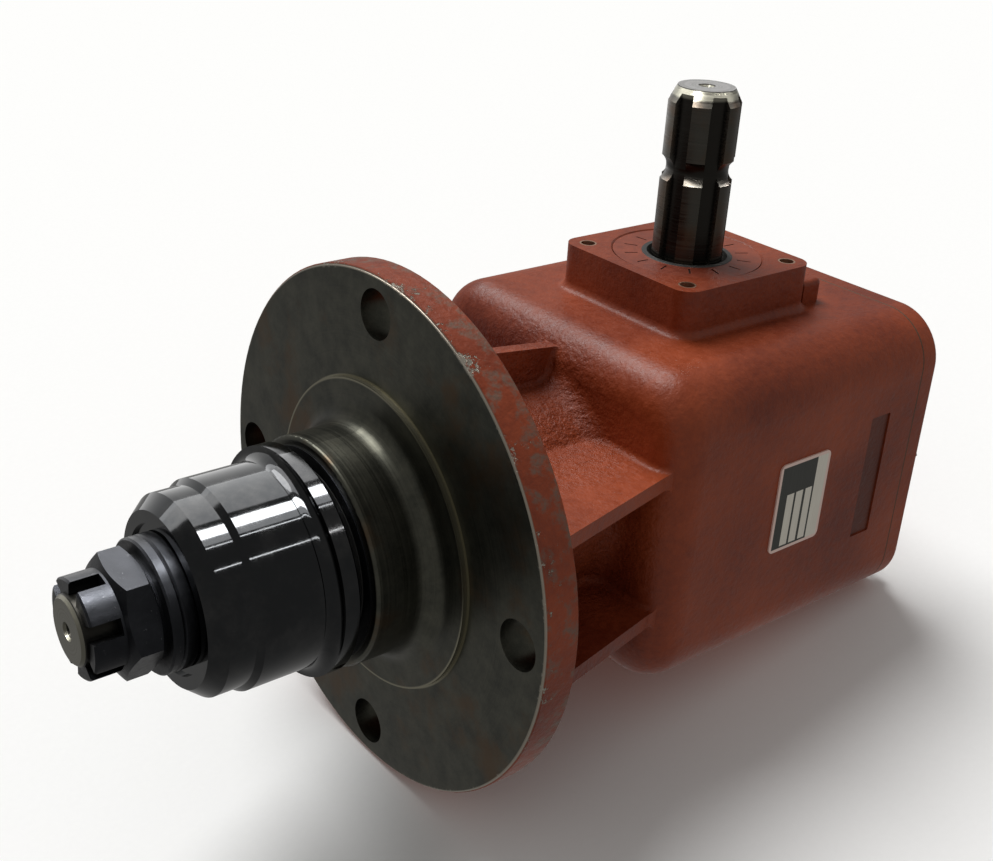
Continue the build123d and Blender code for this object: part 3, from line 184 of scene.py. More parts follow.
def turned_iron(tree, point, radius, rings, corner):
    """Grey iron turned bare: grey smears, brown stains, the flange's outer corner burnished bright by
    handling, and a painted highlight line along the raised disc's edge.
    """
    smears = add(
        tree, "TexNoise", {"Vector": point, "Scale": per_mm(14.0), "Detail": 6.0, "Roughness": 0.7}
    )["Fac"]
    smears = add(tree, "Math", {0: rings, 1: 0.35, 2: smears}, operation="MULTIPLY_ADD")[0]
    smear_share = add(tree, "MapRange", {0: smears, FROM_LOW: 0.45, FROM_HIGH: 0.9})[0]
    iron = add(
        tree, "Mix", {0: smear_share, MIX_A: linear("#3A3B36"), MIX_B: linear("#5B5A50")}, data_type="RGBA"
    )[MIX_RESULT]
    stain = add(
        tree, "TexNoise", {"Vector": point, "Scale": per_mm(42.0), "Detail": 6.0, "Roughness": 0.62}
    )["Fac"]
    stain_share = add(
        tree, "MapRange", {0: stain, FROM_LOW: 0.5, FROM_HIGH: 0.68, TO_HIGH: 0.75},
        interpolation_type="SMOOTHSTEP",
    )[0]
    iron = add(
        tree, "Mix", {0: stain_share, MIX_A: iron, MIX_B: linear("#5A4632")}, data_type="RGBA"
    )[MIX_RESULT]
    # The light band along the raised disc's edge is a painted highlight; the flange's outer corner is real
    # burnishing.
    off_disc_edge = add(tree, "Math", {0: radius, 1: RAISED_DISC_R}, operation="SUBTRACT")[0]
    off_disc_edge = add(tree, "Math", {0: off_disc_edge}, operation="ABSOLUTE")[0]
    disc_edge_highlight = add(
        tree, "MapRange", {0: off_disc_edge, FROM_LOW: OFF_DISC_EDGE[0], FROM_HIGH: OFF_DISC_EDGE[1]}
    )[0]
    burnish_and_highlight = add(tree, "Math", {0: disc_edge_highlight, 1: corner}, operation="MAXIMUM")[0]
    return add(
        tree, "Mix", {0: burnish_and_highlight, MIX_A: iron, MIX_B: linear("#8F8B79")}, data_type="RGBA"
    )[MIX_RESULT]


def rim_wear(tree, point, radius, x_place, corner):
    """Shares of the flange's rim that are worn to bright metal and that are only rubbed dull.

    Fine flecks and a thin line are bright along the rim's front edge, and the patches towards its back
    edge are dull.
    """
    on_rim = add(tree, "MapRange", {0: radius, FROM_LOW: RIM_R[0], FROM_HIGH: RIM_R[1]})[0]
    patches = add(tree, "TexNoise", {"Vector": point, "Scale": per_mm(24.0), "Detail": 2.0})["Fac"]
    chips = add(
        tree, "TexNoise", {"Vector": point, "Scale": per_mm(2.6), "Detail": 5.0, "Roughness": 0.7}
    )["Fac"]
    by_front = add(
        tree, "MapRange",
        {0: x_place, FROM_LOW: FLECKS_X[0], FROM_HIGH: FLECKS_X[1], TO_LOW: 0.0, TO_HIGH: 0.14},
    )[0]
    flecks = add(tree, "Math", {0: chips, 1: by_front}, operation="ADD")[0]
    flecks = add(tree, "Math", {0: patches, 1: 0.9, 2: flecks}, operation="MULTIPLY_ADD")[0]
    flecks = add(tree, "MapRange", {0: flecks, FROM_LOW: 1.18, FROM_HIGH: 1.25})[0]
    flecks = add(tree, "Math", {0: flecks, 1: on_rim}, operation="MULTIPLY")[0]
    scuffs = add(
        tree, "TexNoise", {"Vector": point, "Scale": per_mm(9.0), "Detail": 6.0, "Roughness": 0.68}
    )["Fac"]
    by_back = add(
        tree, "MapRange",
        {0: x_place, FROM_LOW: RUBBED_X[0], FROM_HIGH: RUBBED_X[1], TO_LOW: 0.0, TO_HIGH: 0.1},
    )[0]
    rubbed = add(tree, "Math", {0: scuffs, 1: by_back}, operation="ADD")[0]
    rubbed = add(tree, "MapRange", {0: rubbed, FROM_LOW: 0.55, FROM_HIGH: 0.68, TO_HIGH: 0.8})[0]
    rubbed = add(tree, "Math", {0: rubbed, 1: on_rim}, operation="MULTIPLY")[0]
    edge_line = add(
        tree, "MapRange", {0: x_place, FROM_LOW: FRONT_EDGE_X[0], FROM_HIGH: FRONT_EDGE_X[1]}
    )[0]
    edge_line = add(tree, "Math", {0: edge_line, 1: corner}, operation="MULTIPLY")[0]
    worn = add(tree, "Math", {0: flecks, 1: edge_line}, operation="MAXIMUM")[0]
    return worn, rubbed


def round_hole(tree, point, centre, across, hole_r):
    """1 inside a round hole, 0 outside it.

    The point's offset from the hole's centre is flattened onto the plane across the hole, and its
    length is compared with the hole's radius.
    """
    offset = add(tree, "VectorMath", {0: point, 1: centre}, operation="SUBTRACT")[0]
    flat = add(tree, "VectorMath", {0: offset, 1: across}, operation="MULTIPLY")[0]
    reach = add(tree, "VectorMath", {0: flat}, operation="LENGTH")["Value"]
    return add(tree, "Math", {0: reach, 1: hole_r}, operation="LESS_THAN")[0]


def tapped_pad_holes(tree, point, z_place):
    """1 inside the pad's four tapped holes: they mirror each other about the input axis."""
    from_axis = add(
        tree, "VectorMath", {0: point, 1: (INPUT_AXIS_X, 0.0, 0.0)}, operation="SUBTRACT"
    )[0]
    folded = add(tree, "VectorMath", {0: from_axis}, operation="ABSOLUTE")[0]
    in_hole = round_hole(
        tree, folded, (PAD_HOLE_REACH, PAD_HOLE_REACH, 0.0), (1.0, 1.0, 0.0), PAD_HOLE_R
    )
    by_pad = add(tree, "Math", {0: z_place, 1: PAD_HOLES_ABOVE_Z}, operation="GREATER_THAN")[0]
    return add(tree, "Math", {0: in_hole, 1: by_pad}, operation="MULTIPLY")[0]


def drilled_flange_holes(tree, point, x_place):
    """1 inside the flange's four holes: two on the Y axis and two on the Z axis."""
    folded = add(tree, "VectorMath", {0: point}, operation="ABSOLUTE")[0]
    on_y = round_hole(tree, folded, (0.0, BOLT_CIRCLE_R, 0.0), (0.0, 1.0, 1.0), BOLT_HOLE_R)
    on_z = round_hole(tree, folded, (0.0, 0.0, BOLT_CIRCLE_R), (0.0, 1.0, 1.0), BOLT_HOLE_R)
    drilled = add(tree, "Math", {0: on_y, 1: on_z}, operation="MAXIMUM")[0]
    on_flange = add(tree, "Math", {0: x_place, 1: FLANGE_BACK_X}, operation="LESS_THAN")[0]
    return add(tree, "Math", {0: drilled, 1: on_flange}, operation="MULTIPLY")[0]


def recess_darkening(tree, point):
    """Share of darker colour on the floor of the shallow recess beside the plate.

    The offset from the recess's middle is divided by its half sizes, so the recess is where the
    greatest of the three is below 1.
    """
    offset = add(tree, "VectorMath", {0: point, 1: RECESS_MIDDLE}, operation="SUBTRACT")[0]
    offset = add(tree, "VectorMath", {0: offset}, operation="ABSOLUTE")[0]
    offset = add(tree, "VectorMath", {0: offset, 1: RECESS_HALF}, operation="DIVIDE")[0]
    parts = add(tree, "SeparateXYZ", {0: offset})
    furthest = add(tree, "Math", {0: parts["X"], 1: parts["Y"]}, operation="MAXIMUM")[0]
    furthest = add(tree, "Math", {0: furthest, 1: parts["Z"]}, operation="MAXIMUM")[0]
    return add(tree, "MapRange", {0: furthest, FROM_LOW: 1.0, FROM_HIGH: 0.98, TO_HIGH: 0.6})[0]


def sand_grain(tree, point, x_place, radius):
    """Height of the sand's grain: small over the case, coarse on the neck between flange and case.

    Grains of moulding sand are about 0.5 mm across, too fine to show, so they are drawn at 2.2 and 5 mm.
    """
    sand = add(
        tree, "TexNoise", {"Vector": point, "Scale": per_mm(2.2), "Detail": 4.0, "Roughness": 0.6}
    )["Fac"]
    coarse = add(tree, "TexNoise", {"Vector": point, "Scale": per_mm(5.0), "Detail": 4.0})["Fac"]
    before_case = add(
        tree, "MapRange", {0: x_place, FROM_LOW: NECK_END_X + NECK_FADE, FROM_HIGH: NECK_END_X - NECK_FADE}
    )[0]
    near_axis = add(
        tree, "MapRange", {0: radius, FROM_LOW: NECK_R + NECK_FADE, FROM_HIGH: NECK_R - NECK_FADE}
    )[0]
    neck = add(tree, "Math", {0: before_case, 1: near_axis}, operation="MULTIPLY")[0]
    depth = add(tree, "MapRange", {0: neck, TO_LOW: 0.3, TO_HIGH: 1.25})[0]
    grain = add(tree, "Math", {0: coarse, 1: 0.8, 2: sand}, operation="MULTIPLY_ADD")[0]
    return add(tree, "Math", {0: grain, 1: depth}, operation="MULTIPLY")[0]


def painted_casting(tree):
    """Grey iron cast in sand and sprayed red, with its flange face, raised disc and boss turned bare."""
    point = add(tree, "TexCoord")["Object"]
    lathe = lathe_place(tree, point, *OUTPUT_AXIS)
    radius = lathe["radius"]
    parts = add(tree, "SeparateXYZ", {0: point})
    x_place = parts["X"]

    # The iron is bare on the flange's face and on all that stands in front of it.
    bare = add(tree, "MapRange", {0: x_place, FROM_LOW: BARE_FACE_X[0], FROM_HIGH: BARE_FACE_X[1]})[0]
    rings = add(tree, "TexNoise", {"Vector": lathe["place"], "Scale": per_mm(0.9), "Detail": 2.0})["Fac"]
    corner = add(tree, "MapRange", {0: radius, FROM_LOW: CORNER_R[0], FROM_HIGH: CORNER_R[1]})[0]
    iron = turned_iron(tree, point, radius, rings, corner)

    worn, rubbed = rim_wear(tree, point, radius, x_place, corner)
    paint, fine = casting_paint(tree, point)
    paint = add(
        tree, "Mix", {0: rubbed, MIX_A: paint, MIX_B: linear("#6B5C50")}, data_type="RGBA"
    )[MIX_RESULT]
    # The floor of the recess beside the plate is coloured darker.
    darker_in_recess = recess_darkening(tree, point)
    paint = add(
        tree, "Mix", {0: darker_in_recess, MIX_A: paint, MIX_B: linear("#3A1A12")}, data_type="RGBA"
    )[MIX_RESULT]

    thread = tapped_pad_holes(tree, point, parts["Z"])
    drilled = drilled_flange_holes(tree, point, x_place)
    metal = add(tree, "Math", {0: bare, 1: worn}, operation="MAXIMUM")[0]
    metal = add(tree, "Math", {0: metal, 1: drilled}, operation="MAXIMUM")[0]
    metal = add(tree, "Math", {0: metal, 1: thread}, operation="MAXIMUM")[0]
    metal_colour = add(
        tree, "Mix", {0: worn, MIX_A: iron, MIX_B: linear("#A59E92")}, data_type="RGBA"
    )[MIX_RESULT]
    # The tapped holes and a thin ring round their mouths are bare metal, coloured light copper as a painted
    # glint as well.
    metal_colour = add(
        tree, "Mix", {0: thread, MIX_A: metal_colour, MIX_B: linear("#C9A48C")}, data_type="RGBA"
    )[MIX_RESULT]
    colour = add(tree, "Mix", {0: metal, MIX_A: paint, MIX_B: metal_colour}, data_type="RGBA")[MIX_RESULT]

    paint_gloss = add(
        tree, "MapRange", {0: fine, FROM_LOW: 0.3, FROM_HIGH: 0.7, TO_LOW: 0.32, TO_HIGH: 0.5}
    )[0]
    iron_gloss = add(
        tree, "MapRange", {0: rings, FROM_LOW: 0.3, FROM_HIGH: 0.7, TO_LOW: 0.3, TO_HIGH: 0.42}
    )[0]
    gloss_gap = add(tree, "Math", {0: iron_gloss, 1: paint_gloss}, operation="SUBTRACT")[0]
    gloss = add(tree, "Math", {0: gloss_gap, 1: metal, 2: paint_gloss}, operation="MULTIPLY_ADD")[0]

    grain = sand_grain(tree, point, x_place, radius)
    painted = add(tree, "Math", {0: 1.0, 1: metal}, operation="SUBTRACT")[0]
    grain = add(tree, "Math", {0: grain, 1: painted}, operation="MULTIPLY")[0]
    relief = add(tree, "Bump", {"Height": grain, "Distance": 0.0011})[0]
    ring_height = add(tree, "Math", {0: rings, 1: bare}, operation="MULTIPLY")[0]
    relief = add(tree, "Bump", {"Height": ring_height, "Distance": 0.00003, "Normal": relief})[0]
    return {
        "Base Color": colour, "Metallic": metal, "Roughness": gloss, "Normal": relief,
        "Specular IOR Level": 0.32,
    }


def painted_seal(tree):
    """Pressed sheet steel under the same spray: smoother than the casting, with painted shade in its marks.

    Only the upper seal case has marks, so the painted shade starts above SEAL_MARKS_ABOVE_Z.
    """
    point = add(tree, "TexCoord")["Object"]
    parts = add(tree, "SeparateXYZ", {0: point})
    paint, fine = casting_paint(tree, point)
    # The sunk marks are painted near-black as shade.
    sunk = add(
        tree, "MapRange", {0: parts["Z"], FROM_LOW: SEAL_MARK_Z[0], FROM_HIGH: SEAL_MARK_Z[1]}
    )[0]
    above = add(tree, "Math", {0: parts["Z"], 1: SEAL_MARKS_ABOVE_Z}, operation="GREATER_THAN")[0]
    painted_mark_shade = add(tree, "Math", {0: sunk, 1: above}, operation="MULTIPLY")[0]
    colour = add(
        tree, "Mix", {0: painted_mark_shade, MIX_A: paint, MIX_B: linear("#1E0F0B")}, data_type="RGBA"
    )[MIX_RESULT]
    gloss = add(
        tree, "MapRange", {0: fine, FROM_LOW: 0.3, FROM_HIGH: 0.7, TO_LOW: 0.36, TO_HIGH: 0.5}
    )[0]
    relief = add(tree, "Bump", {"Height": fine, "Distance": 0.00012})[0]
    return {"Base Color": colour, "Roughness": gloss, "Normal": relief}


def splined_steel(tree):
    """Alloy steel shaft, hobbed and left oily: dark lands, grooves painted near-black as shade, a brighter
    chamfer.
    """
    point = add(tree, "TexCoord")["Object"]
    lathe = lathe_place(tree, point, *INPUT_AXIS)
    tint = add(
        tree, "TexNoise", {"Vector": point, "Scale": per_mm(16.0), "Detail": 5.0, "Roughness": 0.6}
    )["Fac"]
    tint_share = add(
        tree, "MapRange", {0: tint, FROM_LOW: 0.4, FROM_HIGH: 0.7}, interpolation_type="SMOOTHSTEP"
    )[0]
    land = add(
        tree, "Mix", {0: tint_share, MIX_A: linear("#43413C"), MIX_B: linear("#4A3D32")}, data_type="RGBA"
    )[MIX_RESULT]
    # Between the teeth the colour goes near-black: painted shade in the grooves.
    painted_groove_shade = add(
        tree, "MapRange", {0: lathe["radius"], FROM_LOW: SPLINE_TOP_R, FROM_HIGH: SPLINE_ROOT_R}
    )[0]
    over_seal = add(tree, "Math", {0: lathe["along"], 1: PAD_TOP_Z}, operation="GREATER_THAN")[0]
    painted_groove_shade = add(tree, "Math", {0: painted_groove_shade, 1: over_seal}, operation="MULTIPLY")[0]
    colour = add(
        tree, "Mix", {0: painted_groove_shade, MIX_A: land, MIX_B: linear("#2A2825")}, data_type="RGBA"
    )[MIX_RESULT]
    chamfer = add(
        tree, "MapRange", {0: lathe["along"], FROM_LOW: CHAMFER_Z[0], FROM_HIGH: CHAMFER_Z[1]}
    )[0]
    colour = add(
        tree, "Mix", {0: chamfer, MIX_A: colour, MIX_B: linear("#77756A")}, data_type="RGBA"
    )[MIX_RESULT]
    end_face = add(tree, "Math", {0: lathe["along"], 1: END_FACE_Z}, operation="GREATER_THAN")[0]
    colour = add(
        tree, "Mix", {0: end_face, MIX_A: colour, MIX_B: linear("#232220")}, data_type="RGBA"
    )[MIX_RESULT]
    # Hob marks run across the teeth.
    marks = add(tree, "TexNoise", {"Vector": lathe["place"], "Scale": per_mm(0.9), "Detail": 2.0})["Fac"]
    gloss = add(
        tree, "MapRange", {0: marks, FROM_LOW: 0.3, FROM_HIGH: 0.7, TO_LOW: 0.24, TO_HIGH: 0.38}
    )[0]
    gloss = add(tree, "Math", {0: end_face, 1: 0.22, 2: gloss}, operation="MULTIPLY_ADD")[0]
    relief = add(tree, "Bump", {"Height": marks, "Distance": 0.00002})[0]
    return {"Base Color": colour, "Metallic": 1.0, "Roughness": gloss, "Normal": relief}


def polished_black_steel(tree):
    """Hardened hub, ground and polished black: near-mirror gloss, thin hand smears, faint grinding rings."""
    point = add(tree, "TexCoord")["Object"]
    lathe = lathe_place(tree, point, *OUTPUT_AXIS)
    smear = add(
        tree, "TexNoise", {"Vector": point, "Scale": per_mm(22.0), "Detail": 6.0, "Roughness": 0.7}
    )["Fac"]
    share = add(
        tree, "MapRange", {0: smear, FROM_LOW: 0.4, FROM_HIGH: 0.75}, interpolation_type="SMOOTHSTEP"
    )[0]
    colour = add(
        tree, "Mix", {0: share, MIX_A: linear("#303132"), MIX_B: linear("#3E3E3E")}, data_type="RGBA"
    )[MIX_RESULT]
    gloss = add(
        tree, "MapRange", {0: smear, FROM_LOW: 0.35, FROM_HIGH: 0.75, TO_LOW: 0.05, TO_HIGH: 0.13}
    )[0]
    rings = add(tree, "TexNoise", {"Vector": lathe["place"], "Scale": per_mm(1.4), "Detail": 2.0})["Fac"]
    relief = add(tree, "Bump", {"Height": rings, "Distance": 0.000004})[0]
    return {"Base Color": colour, "Metallic": 1.0, "Roughness": gloss, "Normal": relief}


def black_oxide_steel(tree):
    """Steel blacked in a hot salt bath: blue-black satin with small rubbed scuffs all over."""
    point = add(tree, "TexCoord")["Object"]
    tone = add(tree, "TexNoise", {"Vector": point, "Scale": per_mm(9.0), "Detail": 4.0})["Fac"]
    body = add(
        tree, "Mix", {0: tone, MIX_A: linear("#1C1D1F"), MIX_B: linear("#2D2E31")}, data_type="RGBA"
    )[MIX_RESULT]
    scuffs = add(
        tree, "TexNoise", {"Vector": point, "Scale": per_mm(2.4), "Detail": 7.0, "Roughness": 0.75}
    )["Fac"]
    rubbed = add(tree, "MapRange", {0: scuffs, FROM_LOW: 0.62, FROM_HIGH: 0.74})[0]
    colour = add(
        tree, "Mix", {0: rubbed, MIX_A: body, MIX_B: linear("#6C6D70")}, data_type="RGBA"
    )[MIX_RESULT]
    gloss = add(
        tree, "MapRange", {0: scuffs, FROM_LOW: 0.3, FROM_HIGH: 0.7, TO_LOW: 0.42, TO_HIGH: 0.26}
    )[0]
    relief = add(tree, "Bump", {"Height": scuffs, "Distance": 0.00006})[0]
    return {"Base Color": colour, "Metallic": 1.0, "Roughness": gloss, "Normal": relief}


def gear_steel(tree):
    """Case-hardened gear steel: dull grey-brown, with a dark oiled thread and a brighter faced tip."""
    point = add(tree, "TexCoord")["Object"]
    lathe = lathe_place(tree, point, *OUTPUT_AXIS)
    parts = add(tree, "SeparateXYZ", {0: point})
    scale = add(tree, "TexNoise", {"Vector": point, "Scale": per_mm(11.0), "Detail": 5.0})["Fac"]
    share = add(
        tree, "MapRange", {0: scale, FROM_LOW: 0.38, FROM_HIGH: 0.68}, interpolation_type="SMOOTHSTEP"
    )[0]
    body = add(
        tree, "Mix", {0: share, MIX_A: linear("#6A6863"), MIX_B: linear("#7A7264")}, data_type="RGBA"
    )[MIX_RESULT]
    thread = add(tree, "Math", {0: parts["X"], 1: THREAD_START_X}, operation="LESS_THAN")[0]
    colour = add(
        tree, "Mix", {0: thread, MIX_A: body, MIX_B: linear("#282724")}, data_type="RGBA"
    )[MIX_RESULT]
    tip = add(tree, "Math", {0: parts["X"], 1: TIP_FACE_X}, operation="LESS_THAN")[0]
    colour = add(
        tree, "Mix", {0: tip, MIX_A: colour, MIX_B: linear("#6A685E")}, data_type="RGBA"
    )[MIX_RESULT]
    rings = add(tree, "TexNoise", {"Vector": lathe["place"], "Scale": per_mm(0.8), "Detail": 2.0})["Fac"]
    gloss = add(
        tree, "MapRange", {0: rings, FROM_LOW: 0.3, FROM_HIGH: 0.7, TO_LOW: 0.28, TO_HIGH: 0.42}
    )[0]
    relief = add(tree, "Bump", {"Height": rings, "Distance": 0.00003})[0]
    return {"Base Color": colour, "Metallic": 1.0, "Roughness": gloss, "Normal": relief}


def zinc_plate(tree):
    """Zinc-plated steel, clear passivated: bluish silver with faint iridescent clouds."""
    point = add(tree, "TexCoord")["Object"]
    clouds = add(
        tree, "TexNoise", {"Vector": point, "Scale": per_mm(4.0), "Detail": 4.0, "Distortion": 0.6}
    )["Fac"]
    share = add(tree, "MapRange", {0: clouds, FROM_LOW: 0.35, FROM_HIGH: 0.7})[0]
    colour = add(
        tree, "Mix", {0: share, MIX_A: linear("#8C8F92"), MIX_B: linear("#9E9A88")}, data_type="RGBA"
    )[MIX_RESULT]
    gloss = add(
        tree, "MapRange", {0: clouds, FROM_LOW: 0.3, FROM_HIGH: 0.7, TO_LOW: 0.22, TO_HIGH: 0.36}
    )[0]
    relief = add(tree, "Bump", {"Height": clouds, "Distance": 0.00004})[0]
    return {"Base Color": colour, "Metallic": 1.0, "Roughness": gloss, "Normal": relief}


def nitrile_rubber(tree):
    """Moulded nitrile rubber: matt black with a faint bloom."""
    point = add(tree, "TexCoord")["Object"]
    bloom = add(tree, "TexNoise", {"Vector": point, "Scale": per_mm(3.0), "Detail": 5.0})["Fac"]
    colour = add(
        tree, "Mix", {0: bloom, MIX_A: linear("#161616"), MIX_B: linear("#3A3937")}, data_type="RGBA"
    )[MIX_RESULT]
    gloss = add(
        tree, "MapRange", {0: bloom, FROM_LOW: 0.3, FROM_HIGH: 0.7, TO_LOW: 0.45, TO_HIGH: 0.65}
    )[0]
    relief = add(tree, "Bump", {"Height": bloom, "Distance": 0.00005})[0]
    return {"Base Color": colour, "Roughness": gloss, "Normal": relief}


def gasket_paper(tree):
    """Oiled gasket paper: brown fibres pressed flat."""
    point = add(tree, "TexCoord")["Object"]
    fibres = add(
        tree, "TexNoise", {"Vector": point, "Scale": per_mm(1.2), "Detail": 6.0, "Distortion": 1.2}
    )["Fac"]
    colour = add(
        tree, "Mix", {0: fibres, MIX_A: linear("#33261C"), MIX_B: linear("#6B5540")}, data_type="RGBA"
    )[MIX_RESULT]
    relief = add(tree, "Bump", {"Height": fibres, "Distance": 0.00006})[0]
    return {"Base Color": colour, "Roughness": 0.8, "Normal": relief}


def pressed_cage_steel(tree):
    """Bearing cage pressed from strip: dull grey with draw marks from the die."""
    point = add(tree, "TexCoord")["Object"]
    draw = add(
        tree, "TexNoise", {"Vector": point, "Scale": per_mm(1.8), "Detail": 5.0, "Distortion": 0.4}
    )["Fac"]
    colour = add(
        tree, "Mix", {0: draw, MIX_A: linear("#75736E"), MIX_B: linear("#A09E98")}, data_type="RGBA"
    )[MIX_RESULT]
    gloss = add(
        tree, "MapRange", {0: draw, FROM_LOW: 0.3, FROM_HIGH: 0.7, TO_LOW: 0.34, TO_HIGH: 0.5}
    )[0]
    relief = add(tree, "Bump", {"Height": draw, "Distance": 0.00004})[0]
    return {"Base Color": colour, "Metallic": 1.0, "Roughness": gloss, "Normal": relief}


def plate_bars(tree, parts):
    """1 on the plate's plain light bars, 0 between them.

    A bar is where X and Z both lie within half its width and half its height of its middle.
    """
    # Each bar as left, right, bottom and top, in millimetres from the plate's middle.
    bars = (
        (-10.4, -5.4, -20.9, 6.6),
        (-4.0, 0.9, -20.9, 6.6),
        (2.6, 7.2, -20.9, 6.6),
        (8.4, 17.5, -23.5, 23.5),
    )
    light = None
    for left, right, bottom, top in bars:
        middle_x, half_width = (left + right) / 2 / MM_PER_M, (right - left) / 2 / MM_PER_M
        middle_z, half_height = (bottom + top) / 2 / MM_PER_M, (top - bottom) / 2 / MM_PER_M
        across = add(tree, "Math", {0: parts["X"], 1: middle_x, 2: half_width}, operation="COMPARE")[0]
        upward = add(tree, "Math", {0: parts["Z"], 1: middle_z, 2: half_height}, operation="COMPARE")[0]
        bar = add(tree, "Math", {0: across, 1: upward}, operation="MULTIPLY")[0]
        light = bar if light is None else add(tree, "Math", {0: light, 1: bar}, operation="MAXIMUM")[0]
    return light


def printed_plate(tree):
    """Rating plate in brushed aluminium, printed dark: bare border, plain bars, no writing.

    The brushing's lines are under a tenth of a millimetre, too fine to show, so they are drawn 0.5 mm
    apart, and 25 times as long.
    """
    point = add(tree, "TexCoord")["Object"]
    place = add(tree, "VectorMath", {0: point, 1: PLATE_CENTRE}, operation="SUBTRACT")[0]
    parts = add(tree, "SeparateXYZ", {0: place})
    light = plate_bars(tree, parts)
    inside_x = add(
        tree, "Math", {0: parts["X"], 1: 0.0, 2: PLATE_HALF_WIDTH - PLATE_BORDER}, operation="COMPARE"
    )[0]
    inside_z = add(
        tree, "Math", {0: parts["Z"], 1: 0.0, 2: PLATE_HALF_HEIGHT - PLATE_BORDER}, operation="COMPARE"
    )[0]
    inner = add(tree, "Math", {0: inside_x, 1: inside_z}, operation="MULTIPLY")[0]
    border = add(tree, "Math", {0: 1.0, 1: inner}, operation="SUBTRACT")[0]
    bare = add(tree, "Math", {0: light, 1: border}, operation="MAXIMUM")[0]
    stretched = add(tree, "VectorMath", {0: place, 1: (1.0, 1.0, 0.04)}, operation="MULTIPLY")[0]
    brush = add(tree, "TexNoise", {"Vector": stretched, "Scale": per_mm(0.5), "Detail": 3.0})["Fac"]
    metal = add(
        tree, "Mix", {0: brush, MIX_A: linear("#D9D2C2"), MIX_B: linear("#F1ECE0")}, data_type="RGBA"
    )[MIX_RESULT]
    metal = add(
        tree, "Mix", {0: border, MIX_A: metal, MIX_B: linear("#F0D2C6")}, data_type="RGBA"
    )[MIX_RESULT]
    colour = add(
        tree, "Mix", {0: bare, MIX_A: linear("#2C2D26"), MIX_B: metal}, data_type="RGBA"
    )[MIX_RESULT]
    gloss = add(
        tree, "MapRange", {0: brush, FROM_LOW: 0.3, FROM_HIGH: 0.7, TO_LOW: 0.34, TO_HIGH: 0.46}
    )[0]
    metal_share = add(tree, "Math", {0: bare, 1: 0.15}, operation="MULTIPLY")[0]
    return {"Base Color": colour, "Metallic": metal_share, "Roughness": gloss}


def floor_paper(tree):
    """Matt white studio paper with a barely visible tooth."""
    point = add(tree, "TexCoord")["Object"]
    tooth = add(tree, "TexNoise", {"Vector": point, "Scale": per_mm(3.0), "Detail": 2.0})["Fac"]
    colour = add(
        tree, "Mix", {0: tooth, MIX_A: linear("#F7F7F6"), MIX_B: linear("#FAFAF9")}, data_type="RGBA"
    )[MIX_RESULT]
    return {"Base Color": colour, "Roughness": 1.0, "Specular IOR Level": 0.0}


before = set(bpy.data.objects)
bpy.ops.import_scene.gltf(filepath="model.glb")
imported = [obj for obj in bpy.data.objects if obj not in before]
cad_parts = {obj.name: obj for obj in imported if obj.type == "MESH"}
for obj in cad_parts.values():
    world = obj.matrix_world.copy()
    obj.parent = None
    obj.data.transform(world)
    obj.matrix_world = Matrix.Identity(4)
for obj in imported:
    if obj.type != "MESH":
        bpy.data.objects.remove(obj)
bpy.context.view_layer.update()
scene = bpy.context.scene

# Hard steel ground on a wheel: bright silver, nearly smooth, with shallow rings.
GROUND_STEEL = {
    "dark": "#9A9B9C", "light": "#B4B4B3", "rough": (0.12, 0.22),
    "ring_mm": 0.8, "cloud_mm": 18.0, "ring_depth_mm": 0.004,
}
# Spring steel blued by tempering: dark blue-grey satin.
SPRING_STEEL = {
    "dark": "#4C4E55", "light": "#66645F", "rough": (0.25, 0.4),
    "ring_mm": 0.7, "cloud_mm": 9.0, "ring_depth_mm": 0.01,
}
# Soft aluminium stamped from sheet: pale and dull.
SOFT_ALUMINIUM = {
    "dark": "#A5A6A4", "light": "#C0C0BC", "rough": (0.3, 0.45),
    "ring_mm": 1.2, "cloud_mm": 8.0, "ring_depth_mm": 0.02,
}

FINISHES = {
    "painted_casting": finish("red_oxide_enamel_on_sand_cast_iron", painted_casting),
    "painted_seal": finish("red_oxide_enamel_on_pressed_steel", painted_seal),
    "splined_steel": finish("hobbed_oily_alloy_steel", splined_steel),
    "polished_black_steel": finish("polished_blackened_hub_steel", polished_black_steel),
    "black_oxide_steel": finish("hot_blacked_steel", black_oxide_steel),
    "gear_steel": finish("case_hardened_gear_steel", gear_steel),
    "bearing_steel_in": turned_metal("ground_bearing_steel_input", INPUT_AXIS, **GROUND_STEEL),
    "bearing_steel_out": turned_metal("ground_bearing_steel_output", OUTPUT_AXIS, **GROUND_STEEL),
    "cage_steel": finish("pressed_cage_strip", pressed_cage_steel),
    "spring_steel_in": turned_metal("blued_spring_steel_input", INPUT_AXIS, **SPRING_STEEL),
    "spring_steel_out": turned_metal("blued_spring_steel_output", OUTPUT_AXIS, **SPRING_STEEL),
    "zinc_steel": finish("passivated_zinc_plate", zinc_plate),
    "seal_rubber": finish("moulded_nitrile_rubber", nitrile_rubber),
    "gasket_paper": finish("oiled_gasket_paper", gasket_paper),
    "washer_aluminium": turned_metal("stamped_soft_aluminium", INPUT_AXIS, **SOFT_ALUMINIUM),
    "plate_aluminium": finish("printed_brushed_aluminium", printed_plate),
}

